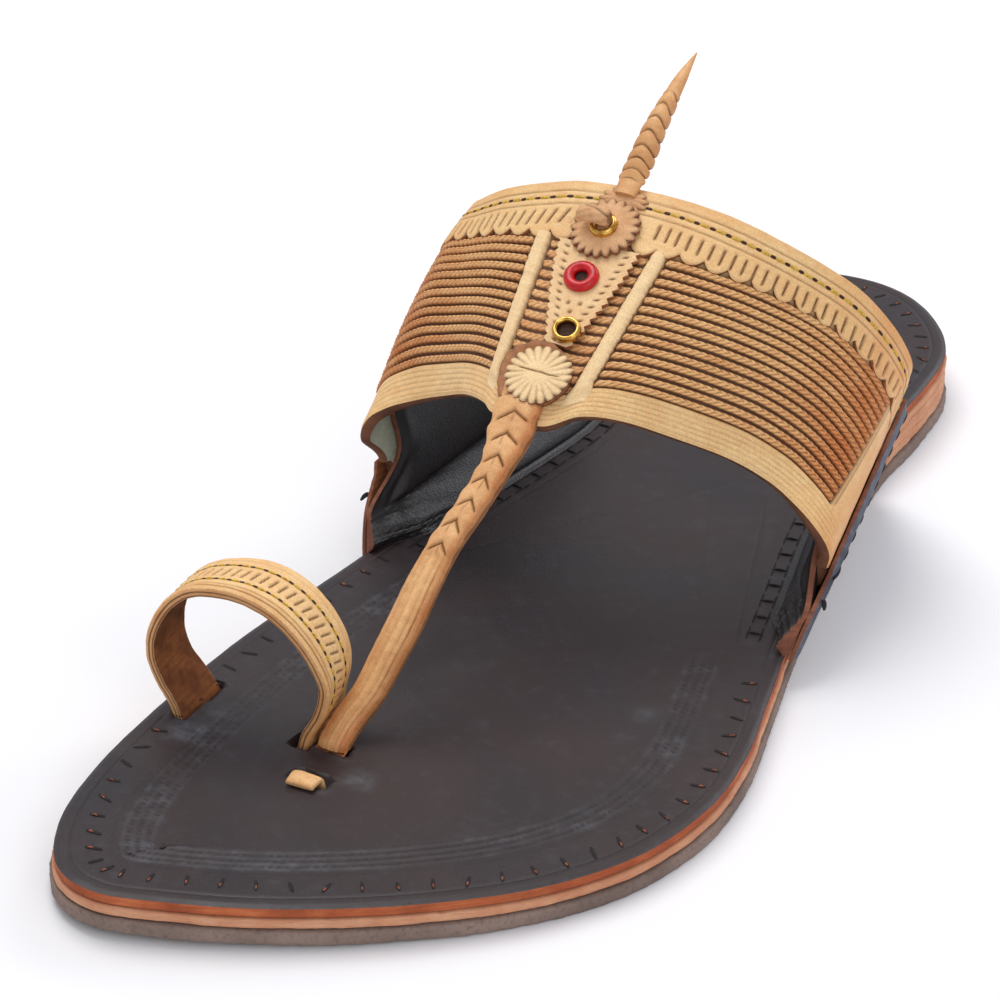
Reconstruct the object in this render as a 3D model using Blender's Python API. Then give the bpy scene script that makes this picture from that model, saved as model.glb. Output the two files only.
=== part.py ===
"""Kolhapuri sandal, left foot: a flat leather sandal with a braided instep band,
a strap that runs forward between the toes, a loop for the big toe, and a
sole of rubber and stacked leather whose two ears hold the ends of the band.

Metres, +Z up. The toe points to -Y, the medial side is -X, and the origin lies on the
floor under the middle of the sole. The rubber rests on the floor at z = 0.
"""

import math

import bmesh
import bpy
from mathutils import Vector

for old in list(bpy.data.objects):
    bpy.data.objects.remove(old)

MM = 0.001

# Main sizes
LENGTH = 280 * MM
BALL_WIDTH = 102 * MM
INSTEP_HEIGHT = 81 * MM

# Clearance between neighbours
GAP = 0.3 * MM

# Cutters for the insole's slots
SLOT_CUT_HEIGHT = 20 * MM
SLOT_SLACK = 0.3 * MM

# Sole
OUTSOLE_THICKNESS = 2.8 * MM
MIDSOLE_THICKNESS = 1.8 * MM
INSOLE_THICKNESS = 2.2 * MM
HEEL_LIFT_HEIGHT = 5.6 * MM
HEEL_LIFT_START = 0.214 * LENGTH
HEEL_LIFT_FULL = 0.329 * LENGTH
SKIVED_EDGE = 0.5 * MM
TOE_SPRING = 1.6 * MM
TOE_SPRING_START = -0.314 * LENGTH
MIDSOLE_OVERHANG = 0.3 * MM
OUTSOLE_OVERHANG = 0.8 * MM
OUTLINE_STATIONS = 26
INSOLE_COLUMNS = (0.0, 0.12, 0.88, 1.0)

# Ears of the insole and their outer layers
EAR_THICKNESS = 2.0 * MM
OUTER_EAR_THICKNESS = 1.8 * MM
MEDIAL_EAR_FRONT = -0.055 * LENGTH
MEDIAL_EAR_REAR = 0.2536 * LENGTH
LATERAL_EAR_FRONT = -0.0296 * LENGTH
LATERAL_EAR_REAR = 0.25 * LENGTH
EAR_STATIONS = 13

# Instep band
BAND_SHEET = 1.8 * MM
BRAID_COUNT = 14
BRAID_HEIGHT = 0.9 * MM
BORDER_STEP = 0.6 * MM
REAR_BORDER_STEP = 1.3 * MM
STRIP_STEP = 1.4 * MM
SURFACE_DROP = 0.7 * MM

# Toe strap, and the slot in the insole that holds its lower end
STRAP_ROOT_HALF = 5.6 * MM
STRAP_THICKNESS = 2.6 * MM
STRAP_SLOT_Y = -0.2825 * LENGTH
STRAP_CROWN = 0.5 * MM
CHEVRON_COUNT = 6
CHEVRON_STEP = 0.7 * MM
CHEVRON_POINT = 2.4 * MM
CHEVRON_LENGTH = 11 * MM
BRAIDED_ROWS = 4.0
PLAIN_STATIONS = 6
STRAP_SHARES = (-1.0, -0.5, 0.0, 0.5, 1.0)

# Toe loop, whose front edge runs a little slantwise from its medial to its lateral end
LOOP_HEIGHT = 36.5 * MM
LOOP_WIDTH = 12.8 * MM
LOOP_THICKNESS = 1.8 * MM
LOOP_FRONT_MEDIAL = -0.3021 * LENGTH
LOOP_FRONT_LATERAL = -0.2911 * LENGTH
LOOP_SLOT_MEDIAL = -0.8355 * BALL_WIDTH / 2
LOOP_SLOT_LATERAL = -0.367 * BALL_WIDTH / 2

# Tail of the toe strap, which comes up again in front of its slot
TAIL_X = -0.218 * BALL_WIDTH / 2
TAIL_SLOT_Y = -0.322 * LENGTH
TAIL_WIDTH = 5.6 * MM
TAIL_THICKNESS = 1.3 * MM
TAIL_LENGTH = 4.0 * MM

# Trim on the centre line of the band
INNER_BRAID_HEIGHT = 0.5 * MM
PANEL_THICKNESS = 0.9 * MM
PANEL_HALF_WIDTH = 8.2 * MM
PANEL_SKEW = 1.6 * MM
ROSETTE_RADIUS = 6.9 * MM
LOW_ROSETTE_RADIUS = 6.2 * MM
ROSETTE_THICKNESS = 0.9 * MM
ROSETTE_TEETH = 20
LEAF_RADIUS = 7.3 * MM
LEAF_THICKNESS = 0.7 * MM
RED_EYELET_RADIUS = 3.5 * MM
BRASS_EYELET_RADIUS = 2.8 * MM
STUD_RADIUS = 2.7 * MM
EYELET_HOLE_SHARE = 0.45
EYELET_HEIGHT = 1.1 * MM
KNOT_LENGTH = 5.6 * MM
KNOT_RADIUS = 1.7 * MM
KNOT_OFFSET = 1.6 * MM
SPIKE_RADIUS = 2.5 * MM

# Outline of the insole from above, toe tip first, along the lateral side to the heel
# and back along the medial side.
# (across, share of half the ball width; along, share of the length)
OUTLINE = (
    (-0.471, -0.500),
    (-0.235, -0.487),
    (0.059, -0.461),
    (0.353, -0.425),
    (0.627, -0.382),
    (0.843, -0.336),
    (1.000, -0.279),
    (1.059, -0.214),
    (1.029, -0.154),
    (0.941, -0.089),
    (0.853, -0.029),
    (0.745, 0.050),
    (0.633, 0.129),
    (0.560, 0.200),
    (0.520, 0.271),
    (0.510, 0.346),
    (0.471, 0.404),
    (0.353, 0.448),
    (0.157, 0.484),
    (-0.059, 0.500),
    (-0.294, 0.496),
    (-0.510, 0.475),
    (-0.667, 0.436),
    (-0.755, 0.379),
    (-0.765, 0.321),
    (-0.735, 0.250),
    (-0.696, 0.193),
    (-0.725, 0.129),
    (-0.784, 0.050),
    (-0.853, -0.029),
    (-0.892, -0.100),
    (-0.941, -0.196),
    (-0.945, -0.286),
    (-0.912, -0.371),
    (-0.824, -0.439),
    (-0.667, -0.486),
)

# The band and the ears as one surface over the instep. Each row is one line of it from
# the front edge to the rear edge, and the rows go from the medial to the lateral side.
# Both ends start at the sole's outline, which is worked out from OUTLINE.
# (front: across, along, up; rear: across, along, up; how far the middle of the line bows
# out), shares of half the ball width, the length and the instep height; the bow is a
# share of half the ball width
INSTEP = (
    (-0.918, -0.039, 0.154, -0.775, 0.239, 0.210, 0.00),  # medial ear, half way
    (-0.957, -0.013, 0.257, -0.837, 0.204, 0.352, 0.02),  # top of the medial outer ear
    (-1.006, -0.024, 0.327, -0.873, 0.186, 0.420, 0.06),  # medial end panel
    (-0.980, -0.025, 0.389, -0.892, 0.168, 0.496, 0.10),  # medial ends of the braids
    (-0.902, -0.022, 0.432, -0.920, 0.132, 0.646, 0.12),
    (-0.765, -0.022, 0.477, -0.890, 0.098, 0.790, 0.10),
    (-0.608, -0.032, 0.531, -0.784, 0.084, 0.862, 0.06),  # medial shoulder
    (-0.461, -0.051, 0.589, -0.637, 0.075, 0.923, 0.03),
    (-0.329, -0.071, 0.625, -0.471, 0.073, 0.963, 0.01),
    (-0.245, -0.086, 0.637, -0.353, 0.076, 0.980, 0.00),  # medial edge of the toe strap
    (-0.137, -0.089, 0.642, -0.157, 0.077, 0.991, 0.00),  # centre line
    (-0.024, -0.086, 0.636, 0.039, 0.076, 0.995, 0.00),  # lateral edge of the toe strap
    (0.082, -0.070, 0.654, 0.157, 0.075, 0.993, 0.00),
    (0.206, -0.053, 0.636, 0.304, 0.076, 0.980, 0.00),
    (0.353, -0.029, 0.580, 0.471, 0.082, 0.942, 0.02),  # lateral shoulder
    (0.520, -0.006, 0.519, 0.627, 0.096, 0.880, 0.03),
    (0.655, 0.006, 0.465, 0.746, 0.111, 0.809, 0.03),
    (0.755, 0.007, 0.428, 0.820, 0.137, 0.689, 0.03),
    (0.848, 0.008, 0.380, 0.838, 0.163, 0.568, 0.02),  # lateral ends of the braids
    (0.906, 0.013, 0.316, 0.806, 0.180, 0.488, 0.00),  # lateral end panel
    (0.885, 0.022, 0.242, 0.745, 0.198, 0.401, 0.00),  # top of the lateral outer ear
    (0.875, -0.007, 0.158, 0.620, 0.229, 0.228, 0.00),  # lateral ear, half way
)

# Places around the instep, counted in rows of INSTEP with the medial sole edge at 0
LAST_ROW = len(INSTEP) + 1
CENTRE = 11
EAR_LINE = 2.0
BAND_END = 1.2
END_PANEL_MIDDLE = 3.0
BRAIDS_START = 3.9
INNER_EAR_ROWS = (0.45, 0.9, BAND_END, EAR_LINE, END_PANEL_MIDDLE, BRAIDS_START, 4.2)
OUTER_EAR_ROWS = (0.14, 0.35, 0.65, BAND_END, 1.6, EAR_LINE)
MEDIAL_STRIP = (9.0, 9.7)
LATERAL_STRIP = (12.2, 12.85)
STRAP_COLUMNS = (10.0, 10.5, 11.0, 11.5, 12.0)
MEDIAL_BRAID_COLUMNS = (4.7, 5.4, 6.1, 6.8, 7.5, 8.2)
LATERAL_BRAID_COLUMNS = (13.6, 14.3, 15.0, 15.8, 16.6, 17.4, 18.2)
STEP_WIDTH = 0.06

# Places along the band, shares of its width from the front to the rear edge
FRONT_BORDER_END = 0.135
REAR_BORDER_START = 0.75
PANEL_START = 0.31
PANEL_END = 0.74

# Trim on the band: place around, place along
LEAF_PLACE = (CENTRE, 0.165)
LOW_ROSETTE_PLACE = (CENTRE + 0.2, 0.165)
BRASS_EYELET_PLACE = (CENTRE + 0.3, 0.37)
RED_EYELET_PLACE = (CENTRE, 0.59)
TOP_ROSETTE_PLACE = (CENTRE, 0.80)

# Centre line of the toe strap from the band to the insole's slot.
# (across, share of half the ball width; along, share of the length; up, share of the
# instep height; half width, share of the root's half width)
TOE_STRAP = (
    (-0.118, -0.102, 0.625, 0.76),
    (-0.102, -0.125, 0.585, 0.54),
    (-0.116, -0.154, 0.523, 0.50),
    (-0.135, -0.179, 0.472, 0.51),
    (-0.149, -0.204, 0.405, 0.57),
    (-0.159, -0.224, 0.336, 0.60),
    (-0.184, -0.240, 0.264, 0.58),
    (-0.212, -0.254, 0.195, 0.55),
    (-0.253, -0.270, 0.137, 0.54),
)

# Outer face of the toe loop, from its lateral end over the toe to its medial end.
# (front edge: across, up; rear edge: across, up), shares of half the ball width and of
# the loop's height
TOE_LOOP = (
    (-0.331, 0.244, -0.345, 0.244),
    (-0.306, 0.312, -0.333, 0.312),
    (-0.278, 0.403, -0.320, 0.408),
    (-0.263, 0.540, -0.306, 0.518),
    (-0.296, 0.663, -0.314, 0.641),
    (-0.351, 0.778, -0.357, 0.773),
    (-0.427, 0.882, -0.435, 0.899),
    (-0.516, 0.953, -0.541, 0.981),
    (-0.637, 0.989, -0.657, 1.000),
    (-0.786, 0.959, -0.804, 0.953),
    (-0.886, 0.849, -0.910, 0.849),
    (-0.953, 0.671, -0.980, 0.699),
    (-0.963, 0.507, -0.998, 0.521),
    (-0.925, 0.362, -0.969, 0.373),
    (-0.880, 0.258, -0.902, 0.252),
)

# Centre panel, front end first.
# (share of its length, share of its half width)
PANEL_WIDTHS = (
    (0.0, 0.39),
    (0.2, 0.56),
    (0.45, 0.76),
    (0.75, 0.93),
    (1.0, 1.0),
)

# Spike, from its flat base on the rear border to its tip.
# (across, share of half the ball width; along, share of the length; up, share of the
# instep height; width, height, shares of the spike's radius)
SPIKE = (
    (-0.145, 0.065, 0.993, 0.85, 0.36),
    (-0.145, 0.076, 1.020, 1.00, 0.40),
    (-0.141, 0.088, 1.056, 0.96, 0.78),
    (-0.137, 0.103, 1.109, 0.84, 0.80),
    (-0.131, 0.120, 1.157, 0.68, 0.64),
    (-0.127, 0.138, 1.201, 0.52, 0.36),
    (-0.116, 0.157, 1.246, 0.06, 0.06),
)
SPIKE_BRAIDS = 7


def catmull(points, place):
    """Point of a smooth curve through points at a place counted in points."""
    last = len(points) - 1
    place = min(max(place, 0.0), float(last))
    index = min(int(place), last - 1)
    t = place - index
    p1 = points[index]
    p2 = points[index + 1]
    p0 = points[index - 1] if index > 0 else p1 * 2 - p2
    p3 = points[index + 2] if index + 2 <= last else p2 * 2 - p1
    return 0.5 * (2 * p1 + (p2 - p0) * t + (2 * p0 - 5 * p1 + 4 * p2 - p3) * t ** 2
                  + (3 * p1 - p0 - 3 * p2 + p3) * t ** 3)


def smoothstep(start, end, value):
    t = min(max((value - start) / (end - start), 0.0), 1.0)
    return t * t * (3 - 2 * t)


def lerp(a, b, share):
    return a + (b - a) * share


class Skin:
    """Collects the points and faces of one closed body."""

    def __init__(self):
        self.points = []
        self.faces = []

    def row(self, points):
        start = len(self.points)
        self.points.extend(Vector(p) for p in points)
        return list(range(start, len(self.points)))

    def grid(self, rows):
        """Add rows of equal length and the quads between them."""
        index = [self.row(points) for points in rows]
        for a, b in zip(index[:-1], index[1:]):
            self.strip(a, b)
        return index

    def strip(self, a, b):
        for i in range(len(a) - 1):
            self.face(a[i], a[i + 1], b[i + 1], b[i])

    def face(self, *corners):
        kept = [c for n, c in enumerate(corners) if c not in corners[:n]]
        if len(kept) > 2:
            self.faces.append(kept)

    def zip(self, a, b):
        """Triangles between two rows of any length, matched by their distance along."""
        def places(row):
            total = [0.0]
            for p, q in zip(row[:-1], row[1:]):
                total.append(total[-1] + (self.points[q] - self.points[p]).length)
            return [t / total[-1] for t in total]
        pa = places(a)
        pb = places(b)
        i = 0
        j = 0
        while i < len(a) - 1 or j < len(b) - 1:
            if j == len(b) - 1 or (i < len(a) - 1 and pa[i + 1] <= pb[j + 1]):
                self.face(a[i], a[i + 1], b[j])
                i += 1
            else:
                self.face(a[i], b[j + 1], b[j])
                j += 1


def make_material(name, colour, roughness, metallic=0.0):
    material = bpy.data.materials.new(name)
    material.use_nodes = True
    shader = material.node_tree.nodes["Principled BSDF"]
    shader.inputs["Base Color"].default_value = (*colour, 1.0)
    shader.inputs["Roughness"].default_value = roughness
    shader.inputs["Metallic"].default_value = metallic
    return material


def add_part(name, skin, seat, material, sharp_angle=38.0):
    """Make one closed object whose origin is its seat."""
    mesh = bpy.data.meshes.new(name)
    mesh.from_pydata([p - seat for p in skin.points], [], skin.faces)
    cleaner = bmesh.new()
    cleaner.from_mesh(mesh)
    bmesh.ops.remove_doubles(cleaner, verts=cleaner.verts, dist=0.00002)
    bmesh.ops.recalc_face_normals(cleaner, faces=cleaner.faces)
    cleaner.to_mesh(mesh)
    cleaner.free()
    mesh.shade_smooth()
    mesh.set_sharp_from_angle(angle=math.radians(sharp_angle))
    part = bpy.data.objects.new(name, mesh)
    part.location = seat
    part.parent = ROOT
    part.data.materials.append(material)
    bpy.context.scene.collection.objects.link(part)
    return part


# Sole: one outline shared by every layer

def outline_samples(overhang):
    """The closed outline as finely spaced points, grown outwards by overhang."""
    knots = [Vector((x * BALL_WIDTH / 2, y * LENGTH)) for x, y in OUTLINE]
    count = len(knots)
    ring = [knots[i % count] for i in range(-1, count + 2)]
    fine = []
    for i in range(count):
        for step in range(12):
            fine.append(catmull(ring, 1 + i + step / 12))
    grown = []
    for i, point in enumerate(fine):
        along = fine[(i + 1) % len(fine)] - fine[i - 1]
        outwards = Vector((-along.y, along.x)).normalized() * -1
        grown.append(point + outwards * overhang)
    return grown


def split_outline(overhang):
    """Toe tip, heel tip, and the lateral and the medial half as rising (y, x) pairs."""
    ring = outline_samples(overhang)
    toe = min(range(len(ring)), key=lambda i: ring[i].y)
    ring = ring[toe:] + ring[:toe]
    heel = max(range(len(ring)), key=lambda i: ring[i].y)
    lateral = [(p.y, p.x) for p in ring[:heel + 1]]
    medial = [(p.y, p.x) for p in ring[heel:] + ring[:1]][::-1]
    return ring[0], ring[heel], lateral, medial


def look_up(pairs, y):
    for (y0, x0), (y1, x1) in zip(pairs[:-1], pairs[1:]):
        if y <= y1:
            return lerp(x0, x1, (y - y0) / (y1 - y0)) if y1 > y0 else x1
    return pairs[-1][1]


INSOLE_TOE, INSOLE_HEEL, INSOLE_LATERAL, INSOLE_MEDIAL = split_outline(0.0)


def spring(y):
    """Height of the rubber's underside, which lifts a little towards the toe."""
    share = max(0.0, (TOE_SPRING_START - y) / (TOE_SPRING_START + LENGTH / 2))
    return TOE_SPRING * share ** 2


def outsole_top(y):
    return spring(y) + OUTSOLE_THICKNESS


def heel_rise(y):
    return HEEL_LIFT_HEIGHT * smoothstep(HEEL_LIFT_START, HEEL_LIFT_FULL, y)


def midsole_bottom(y):
    return outsole_top(y) + GAP + heel_rise(y)


def midsole_top(y):
    return midsole_bottom(y) + MIDSOLE_THICKNESS


def insole_bottom(y):
    return midsole_top(y) + GAP


def insole_top(y):
    return insole_bottom(y) + INSOLE_THICKNESS


def eased(start, end, count, ease_start, ease_end):
    """Places from start to end, closer together at an end that is eased."""
    places = []
    for i in range(count + 1):
        t = i / count
        if ease_start and ease_end:
            t = (1 - math.cos(math.pi * t)) / 2
        elif ease_start:
            t = 1 - math.cos(math.pi / 2 * t)
        elif ease_end:
            t = math.sin(math.pi / 2 * t)
        places.append(lerp(start, end, t))
    return places


def add_layer(name, overhang, bottom, top, material, start=None):
    """One layer of the sole between two heights that depend on y."""
    toe, heel, lateral, medial = split_outline(overhang)
    first = toe.y if start is None else start
    middle = 0.0 if start is None else lerp(start, heel.y, 0.3)
    half = OUTLINE_STATIONS if start is None else OUTLINE_STATIONS // 3
    places = eased(first, middle, half, start is None, False)
    places += eased(middle, heel.y, half, False, True)[1:]
    skin = Skin()
    upper_side = []
    lower_side = []
    for y in places:
        edges = (look_up(medial, y), look_up(lateral, y))
        upper_side.append(skin.row([(x, y, top(y)) for x in edges]))
        lower_side.append(skin.row([(x, y, bottom(y)) for x in edges]))
    for rows in (upper_side, lower_side):
        for a, b in zip(rows[:-1], rows[1:]):
            skin.strip(a, b)
    for side in (0, 1):
        edge = [row[side] for row in upper_side]
        skin.strip(edge, [row[side] for row in lower_side])
    for end in (0, -1):
        skin.strip(upper_side[end], lower_side[end])
    seat = Vector((0, 0, bottom(0.0))) if start is None else Vector((0, start, bottom(start)))
    return add_part(name, skin, seat, material)


# Instep surface, shared by the ears, the band and its trim

def ear_base(side, share):
    """Point of the insole's edge where an ear turns up, from its front to its rear."""
    if side < 0:
        y = lerp(MEDIAL_EAR_FRONT, MEDIAL_EAR_REAR, share)
        x = look_up(INSOLE_MEDIAL, y)
    else:
        y = lerp(LATERAL_EAR_FRONT, LATERAL_EAR_REAR, share)
        x = look_up(INSOLE_LATERAL, y)
    return Vector((x, y, insole_bottom(y)))


def scaled(across, along, up):
    return Vector((across * BALL_WIDTH / 2, along * LENGTH, up * INSTEP_HEIGHT))


FRONT_LINE = [ear_base(-1, 0.0)]
FRONT_LINE += [scaled(*row[:3]) for row in INSTEP]
FRONT_LINE.append(ear_base(1, 0.0))
REAR_LINE = [ear_base(-1, 1.0)]
REAR_LINE += [scaled(*row[3:6]) for row in INSTEP]
REAR_LINE.append(ear_base(1, 1.0))
BOWS = [0.0] + [row[6] * BALL_WIDTH / 2 for row in INSTEP] + [0.0]
BOW_CENTRE = 0.3 * INSTEP_HEIGHT


def instep(around, along):
    """Point of the instep surface; the lowest rows bend out to the sole's edge."""
    point = lerp(catmull(FRONT_LINE, around), catmull(REAR_LINE, around), along)
    edge_distance = min(around, LAST_ROW - around)
    if edge_distance < 1.0:
        side = -1 if around < CENTRE else 1
        straight = lerp(ear_base(side, 0.0), ear_base(side, 1.0), along)
        point += (ear_base(side, along) - straight) * (1 - edge_distance)
    outwards = Vector((point.x, 0, point.z - BOW_CENTRE)).normalized()
    return point + outwards * catmull(BOWS, around) * 4 * along * (1 - along)


def instep_normal(around, along):
    step = 0.02
    low = max(around - step, 0.0)
    high = min(around + step, float(LAST_ROW))
    front = max(along - step, 0.0)
    rear = min(along + step, 1.0)
    across_way = instep(high, along) - instep(low, along)
    along_way = instep(around, rear) - instep(around, front)
    return across_way.cross(along_way).normalized()


def on_instep(around, along, lift):
    """Point over the band's plain sheet, whose outer face is at lift 0."""
    return instep(around, along) + instep_normal(around, along) * (lift - SURFACE_DROP)


def closing(around):
    """0 at the sole's edge, where the ear's layers meet, and 1 where the band begins."""
    return smoothstep(0.0, BAND_END, min(around, LAST_ROW - around))


# Insole with its two ears

def add_insole(material):
    """The top leather: a flat plate whose two ears are one piece with it."""
    toe_places = eased(INSOLE_TOE.y, MEDIAL_EAR_FRONT, OUTLINE_STATIONS, True, False)
    heel_count = OUTLINE_STATIONS // 2
    rows = []
    for i, y in enumerate(toe_places[:-1]):
        share = i / OUTLINE_STATIONS
        lateral_y = y + (LATERAL_EAR_FRONT - MEDIAL_EAR_FRONT) * share ** 2
        rows.append((Vector((look_up(INSOLE_MEDIAL, y), y)),
                     Vector((look_up(INSOLE_LATERAL, lateral_y), lateral_y))))
    first_ear_row = len(rows)
    for i in range(EAR_STATIONS):
        share = i / (EAR_STATIONS - 1)
        rows.append((ear_base(-1, share).xy, ear_base(1, share).xy))
    last_ear_row = len(rows) - 1
    heel_places = eased(MEDIAL_EAR_REAR, INSOLE_HEEL.y, heel_count, False, True)
    for i, y in enumerate(heel_places[1:]):
        share = 1 - (i + 1) / heel_count
        lateral_y = y + (LATERAL_EAR_REAR - MEDIAL_EAR_REAR) * share
        rows.append((Vector((look_up(INSOLE_MEDIAL, y), y)),
                     Vector((look_up(INSOLE_LATERAL, lateral_y), lateral_y))))

    skin = Skin()
    top_rows = []
    bottom_rows = []
    for medial, lateral in rows:
        places = [lerp(medial, lateral, share) for share in INSOLE_COLUMNS]
        top_rows.append(skin.row([(p.x, p.y, insole_top(p.y)) for p in places]))
        bottom_rows.append(skin.row([(p.x, p.y, insole_bottom(p.y)) for p in places]))
    for grid in (top_rows, bottom_rows):
        for a, b in zip(grid[:-1], grid[1:]):
            skin.strip(a, b)
    for end in (0, -1):
        skin.strip(top_rows[end], bottom_rows[end])

    for side, column in ((-1, 0), (1, -1)):
        top_edge = [row[column] for row in top_rows]
        bottom_edge = [row[column] for row in bottom_rows]
        skin.strip(top_edge[:first_ear_row + 1], bottom_edge[:first_ear_row + 1])
        skin.strip(top_edge[last_ear_row:], bottom_edge[last_ear_row:])
        inner = [top_edge[first_ear_row:last_ear_row + 1]]
        outer = [bottom_edge[first_ear_row:last_ear_row + 1]]
        for height in INNER_EAR_ROWS:
            around = height if side < 0 else LAST_ROW - height
            seam = closing(around) * (BAND_SHEET + GAP + SURFACE_DROP)
            inner_points = []
            outer_points = []
            for i in range(EAR_STATIONS):
                along = i / (EAR_STATIONS - 1)
                point = instep(around, along)
                normal = instep_normal(around, along)
                outer_points.append(point - normal * seam)
                inner_points.append(point - normal * (seam + EAR_THICKNESS))
            inner.append(skin.row(inner_points))
            outer.append(skin.row(outer_points))
        for grid in (inner, outer):
            for a, b in zip(grid[:-1], grid[1:]):
                skin.strip(a, b)
        skin.strip(inner[-1], outer[-1])
        for end in (0, -1):
            skin.strip([row[end] for row in inner], [row[end] for row in outer])
    return add_part("insole", skin, Vector((0, 0, insole_bottom(0.0))), material)


def add_outer_ear(name, side, material):
    """The outer layer of an ear, which holds the band's end against the inner one."""
    skin = Skin()
    inner = []
    outer = []
    for height in OUTER_EAR_ROWS:
        around = height if side < 0 else LAST_ROW - height
        rise = (BORDER_STEP - SURFACE_DROP) * closing(around) + GAP
        inner_points = []
        outer_points = []
        for i in range(EAR_STATIONS):
            along = i / (EAR_STATIONS - 1)
            point = instep(around, along)
            normal = instep_normal(around, along)
            inner_points.append(point + normal * rise)
            outer_points.append(point + normal * (rise + OUTER_EAR_THICKNESS))
        inner.append(skin.row(inner_points))
        outer.append(skin.row(outer_points))
    for grid in (inner, outer):
        for a, b in zip(grid[:-1], grid[1:]):
            skin.strip(a, b)
    for end in (0, -1):
        skin.strip(inner[end], outer[end])
        skin.strip([row[end] for row in inner], [row[end] for row in outer])
    return add_part(name, skin, ear_base(side, 0.5), material)


# Upper: the instep band and the toe strap in one piece

def band_columns():
    """(place around, kind) of each column of the band, medial end first."""
    columns = [(BAND_END, "end"), (EAR_LINE, "end"), (END_PANEL_MIDDLE, "end"),
               (BRAIDS_START, "end"), (BRAIDS_START + STEP_WIDTH, "braid")]
    columns += [(place, "braid") for place in MEDIAL_BRAID_COLUMNS]
    columns += [(MEDIAL_STRIP[0] - STEP_WIDTH, "braid"), (MEDIAL_STRIP[0], "strip"),
                (MEDIAL_STRIP[1], "strip"), (MEDIAL_STRIP[1] + STEP_WIDTH, "inner braid")]
    columns += [(STRAP_COLUMNS[0], "inner braid")]
    columns += [(place, "centre") for place in STRAP_COLUMNS[1:-1]]
    columns += [(STRAP_COLUMNS[-1], "inner braid")]
    columns += [(LATERAL_STRIP[0] - STEP_WIDTH, "inner braid"), (LATERAL_STRIP[0], "strip"),
                (LATERAL_STRIP[1], "strip"), (LATERAL_STRIP[1] + STEP_WIDTH, "braid")]
    columns += [(place, "braid") for place in LATERAL_BRAID_COLUMNS]
    columns += [(LAST_ROW - BRAIDS_START - STEP_WIDTH, "braid"),
                (LAST_ROW - BRAIDS_START, "end"), (LAST_ROW - END_PANEL_MIDDLE, "end"),
                (LAST_ROW - EAR_LINE, "end"), (LAST_ROW - BAND_END, "end")]
    return columns


def band_rows():
    """(place along, zone, share of the braid's height) of each row, front edge first."""
    rows = [(0.0, "front", 0.0), (FRONT_BORDER_END / 2, "front", 0.0),
            (FRONT_BORDER_END - 0.006, "front", 0.0)]
    pitch = (REAR_BORDER_START - FRONT_BORDER_END) / BRAID_COUNT
    for i in range(BRAID_COUNT):
        start = FRONT_BORDER_END + i * pitch
        rows.append((start, "braid", 0.0))
        rows.append((start + 0.22 * pitch, "braid", 1.0))
        rows.append((start + 0.82 * pitch, "braid", 1.0))
    rows.append((REAR_BORDER_START, "braid", 0.0))
    rows.append((REAR_BORDER_START + 0.006, "rear", 0.0))
    rows.append((lerp(REAR_BORDER_START, 1.0, 0.5), "rear", 0.0))
    rows.append((1.0, "rear", 0.0))
    return rows


def relief(kind, zone, ridge):
    if zone == "front":
        return BORDER_STEP
    if zone == "rear":
        return REAR_BORDER_STEP if kind != "end" else BORDER_STEP
    heights = {"end": BORDER_STEP, "braid": BRAID_HEIGHT * ridge, "strip": STRIP_STEP,
               "inner braid": INNER_BRAID_HEIGHT * ridge, "centre": 0.0}
    return heights[kind]


def strap_sections():
    """Rows of the toe strap's outer and inner face, from the band to the slot."""
    line = [scaled(*row[:3]) for row in TOE_STRAP]
    halves = [row[3] * STRAP_ROOT_HALF for row in TOE_STRAP]
    last = len(line) - 1
    places = []
    for i in range(CHEVRON_COUNT):
        pitch = BRAIDED_ROWS / CHEVRON_COUNT
        places.append((pitch * (i + 0.5), CHEVRON_STEP))
        places.append((pitch * (i + 0.62), 0.0))
    for i in range(1, PLAIN_STATIONS + 1):
        places.append((lerp(BRAIDED_ROWS, last, i / PLAIN_STATIONS), 0.0))
    outer = []
    inner = []
    for place, lift in places:
        half = catmull(halves, place)
        outer_row = []
        inner_row = []
        for share in STRAP_SHARES:
            point_shift = CHEVRON_POINT * (1 - abs(share)) if place < BRAIDED_ROWS else 0.0
            moved = min(place + point_shift / CHEVRON_LENGTH, float(last))
            centre = catmull(line, moved)
            ahead = catmull(line, min(moved + 0.1, last)) - catmull(line, max(moved - 0.1, 0))
            ahead.normalize()
            sideways = (Vector((1, 0, 0)) - ahead * ahead.x).normalized()
            normal = sideways.cross(ahead)
            if normal.z < 0:
                normal = -normal
            crown = STRAP_CROWN * (1 - share ** 2) + lift * (1 - 0.5 * abs(share))
            outer_row.append(centre + sideways * half * share + normal * crown)
            plain = catmull(line, place)
            inner_row.append(plain + sideways * half * share - normal * STRAP_THICKNESS)
        outer.append(outer_row)
        inner.append(inner_row)
    half = halves[-1]
    slot_top = insole_top(STRAP_SLOT_Y) + 0.5 * MM
    slot_floor = midsole_top(STRAP_SLOT_Y) + GAP
    for height in (slot_top, slot_floor):
        end = Vector((line[-1].x, STRAP_SLOT_Y, height))
        outer.append([end + Vector((half * s, -STRAP_THICKNESS / 2, 0)) for s in STRAP_SHARES])
        inner.append([end + Vector((half * s, STRAP_THICKNESS / 2, 0)) for s in STRAP_SHARES])
    return outer, inner


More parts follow.
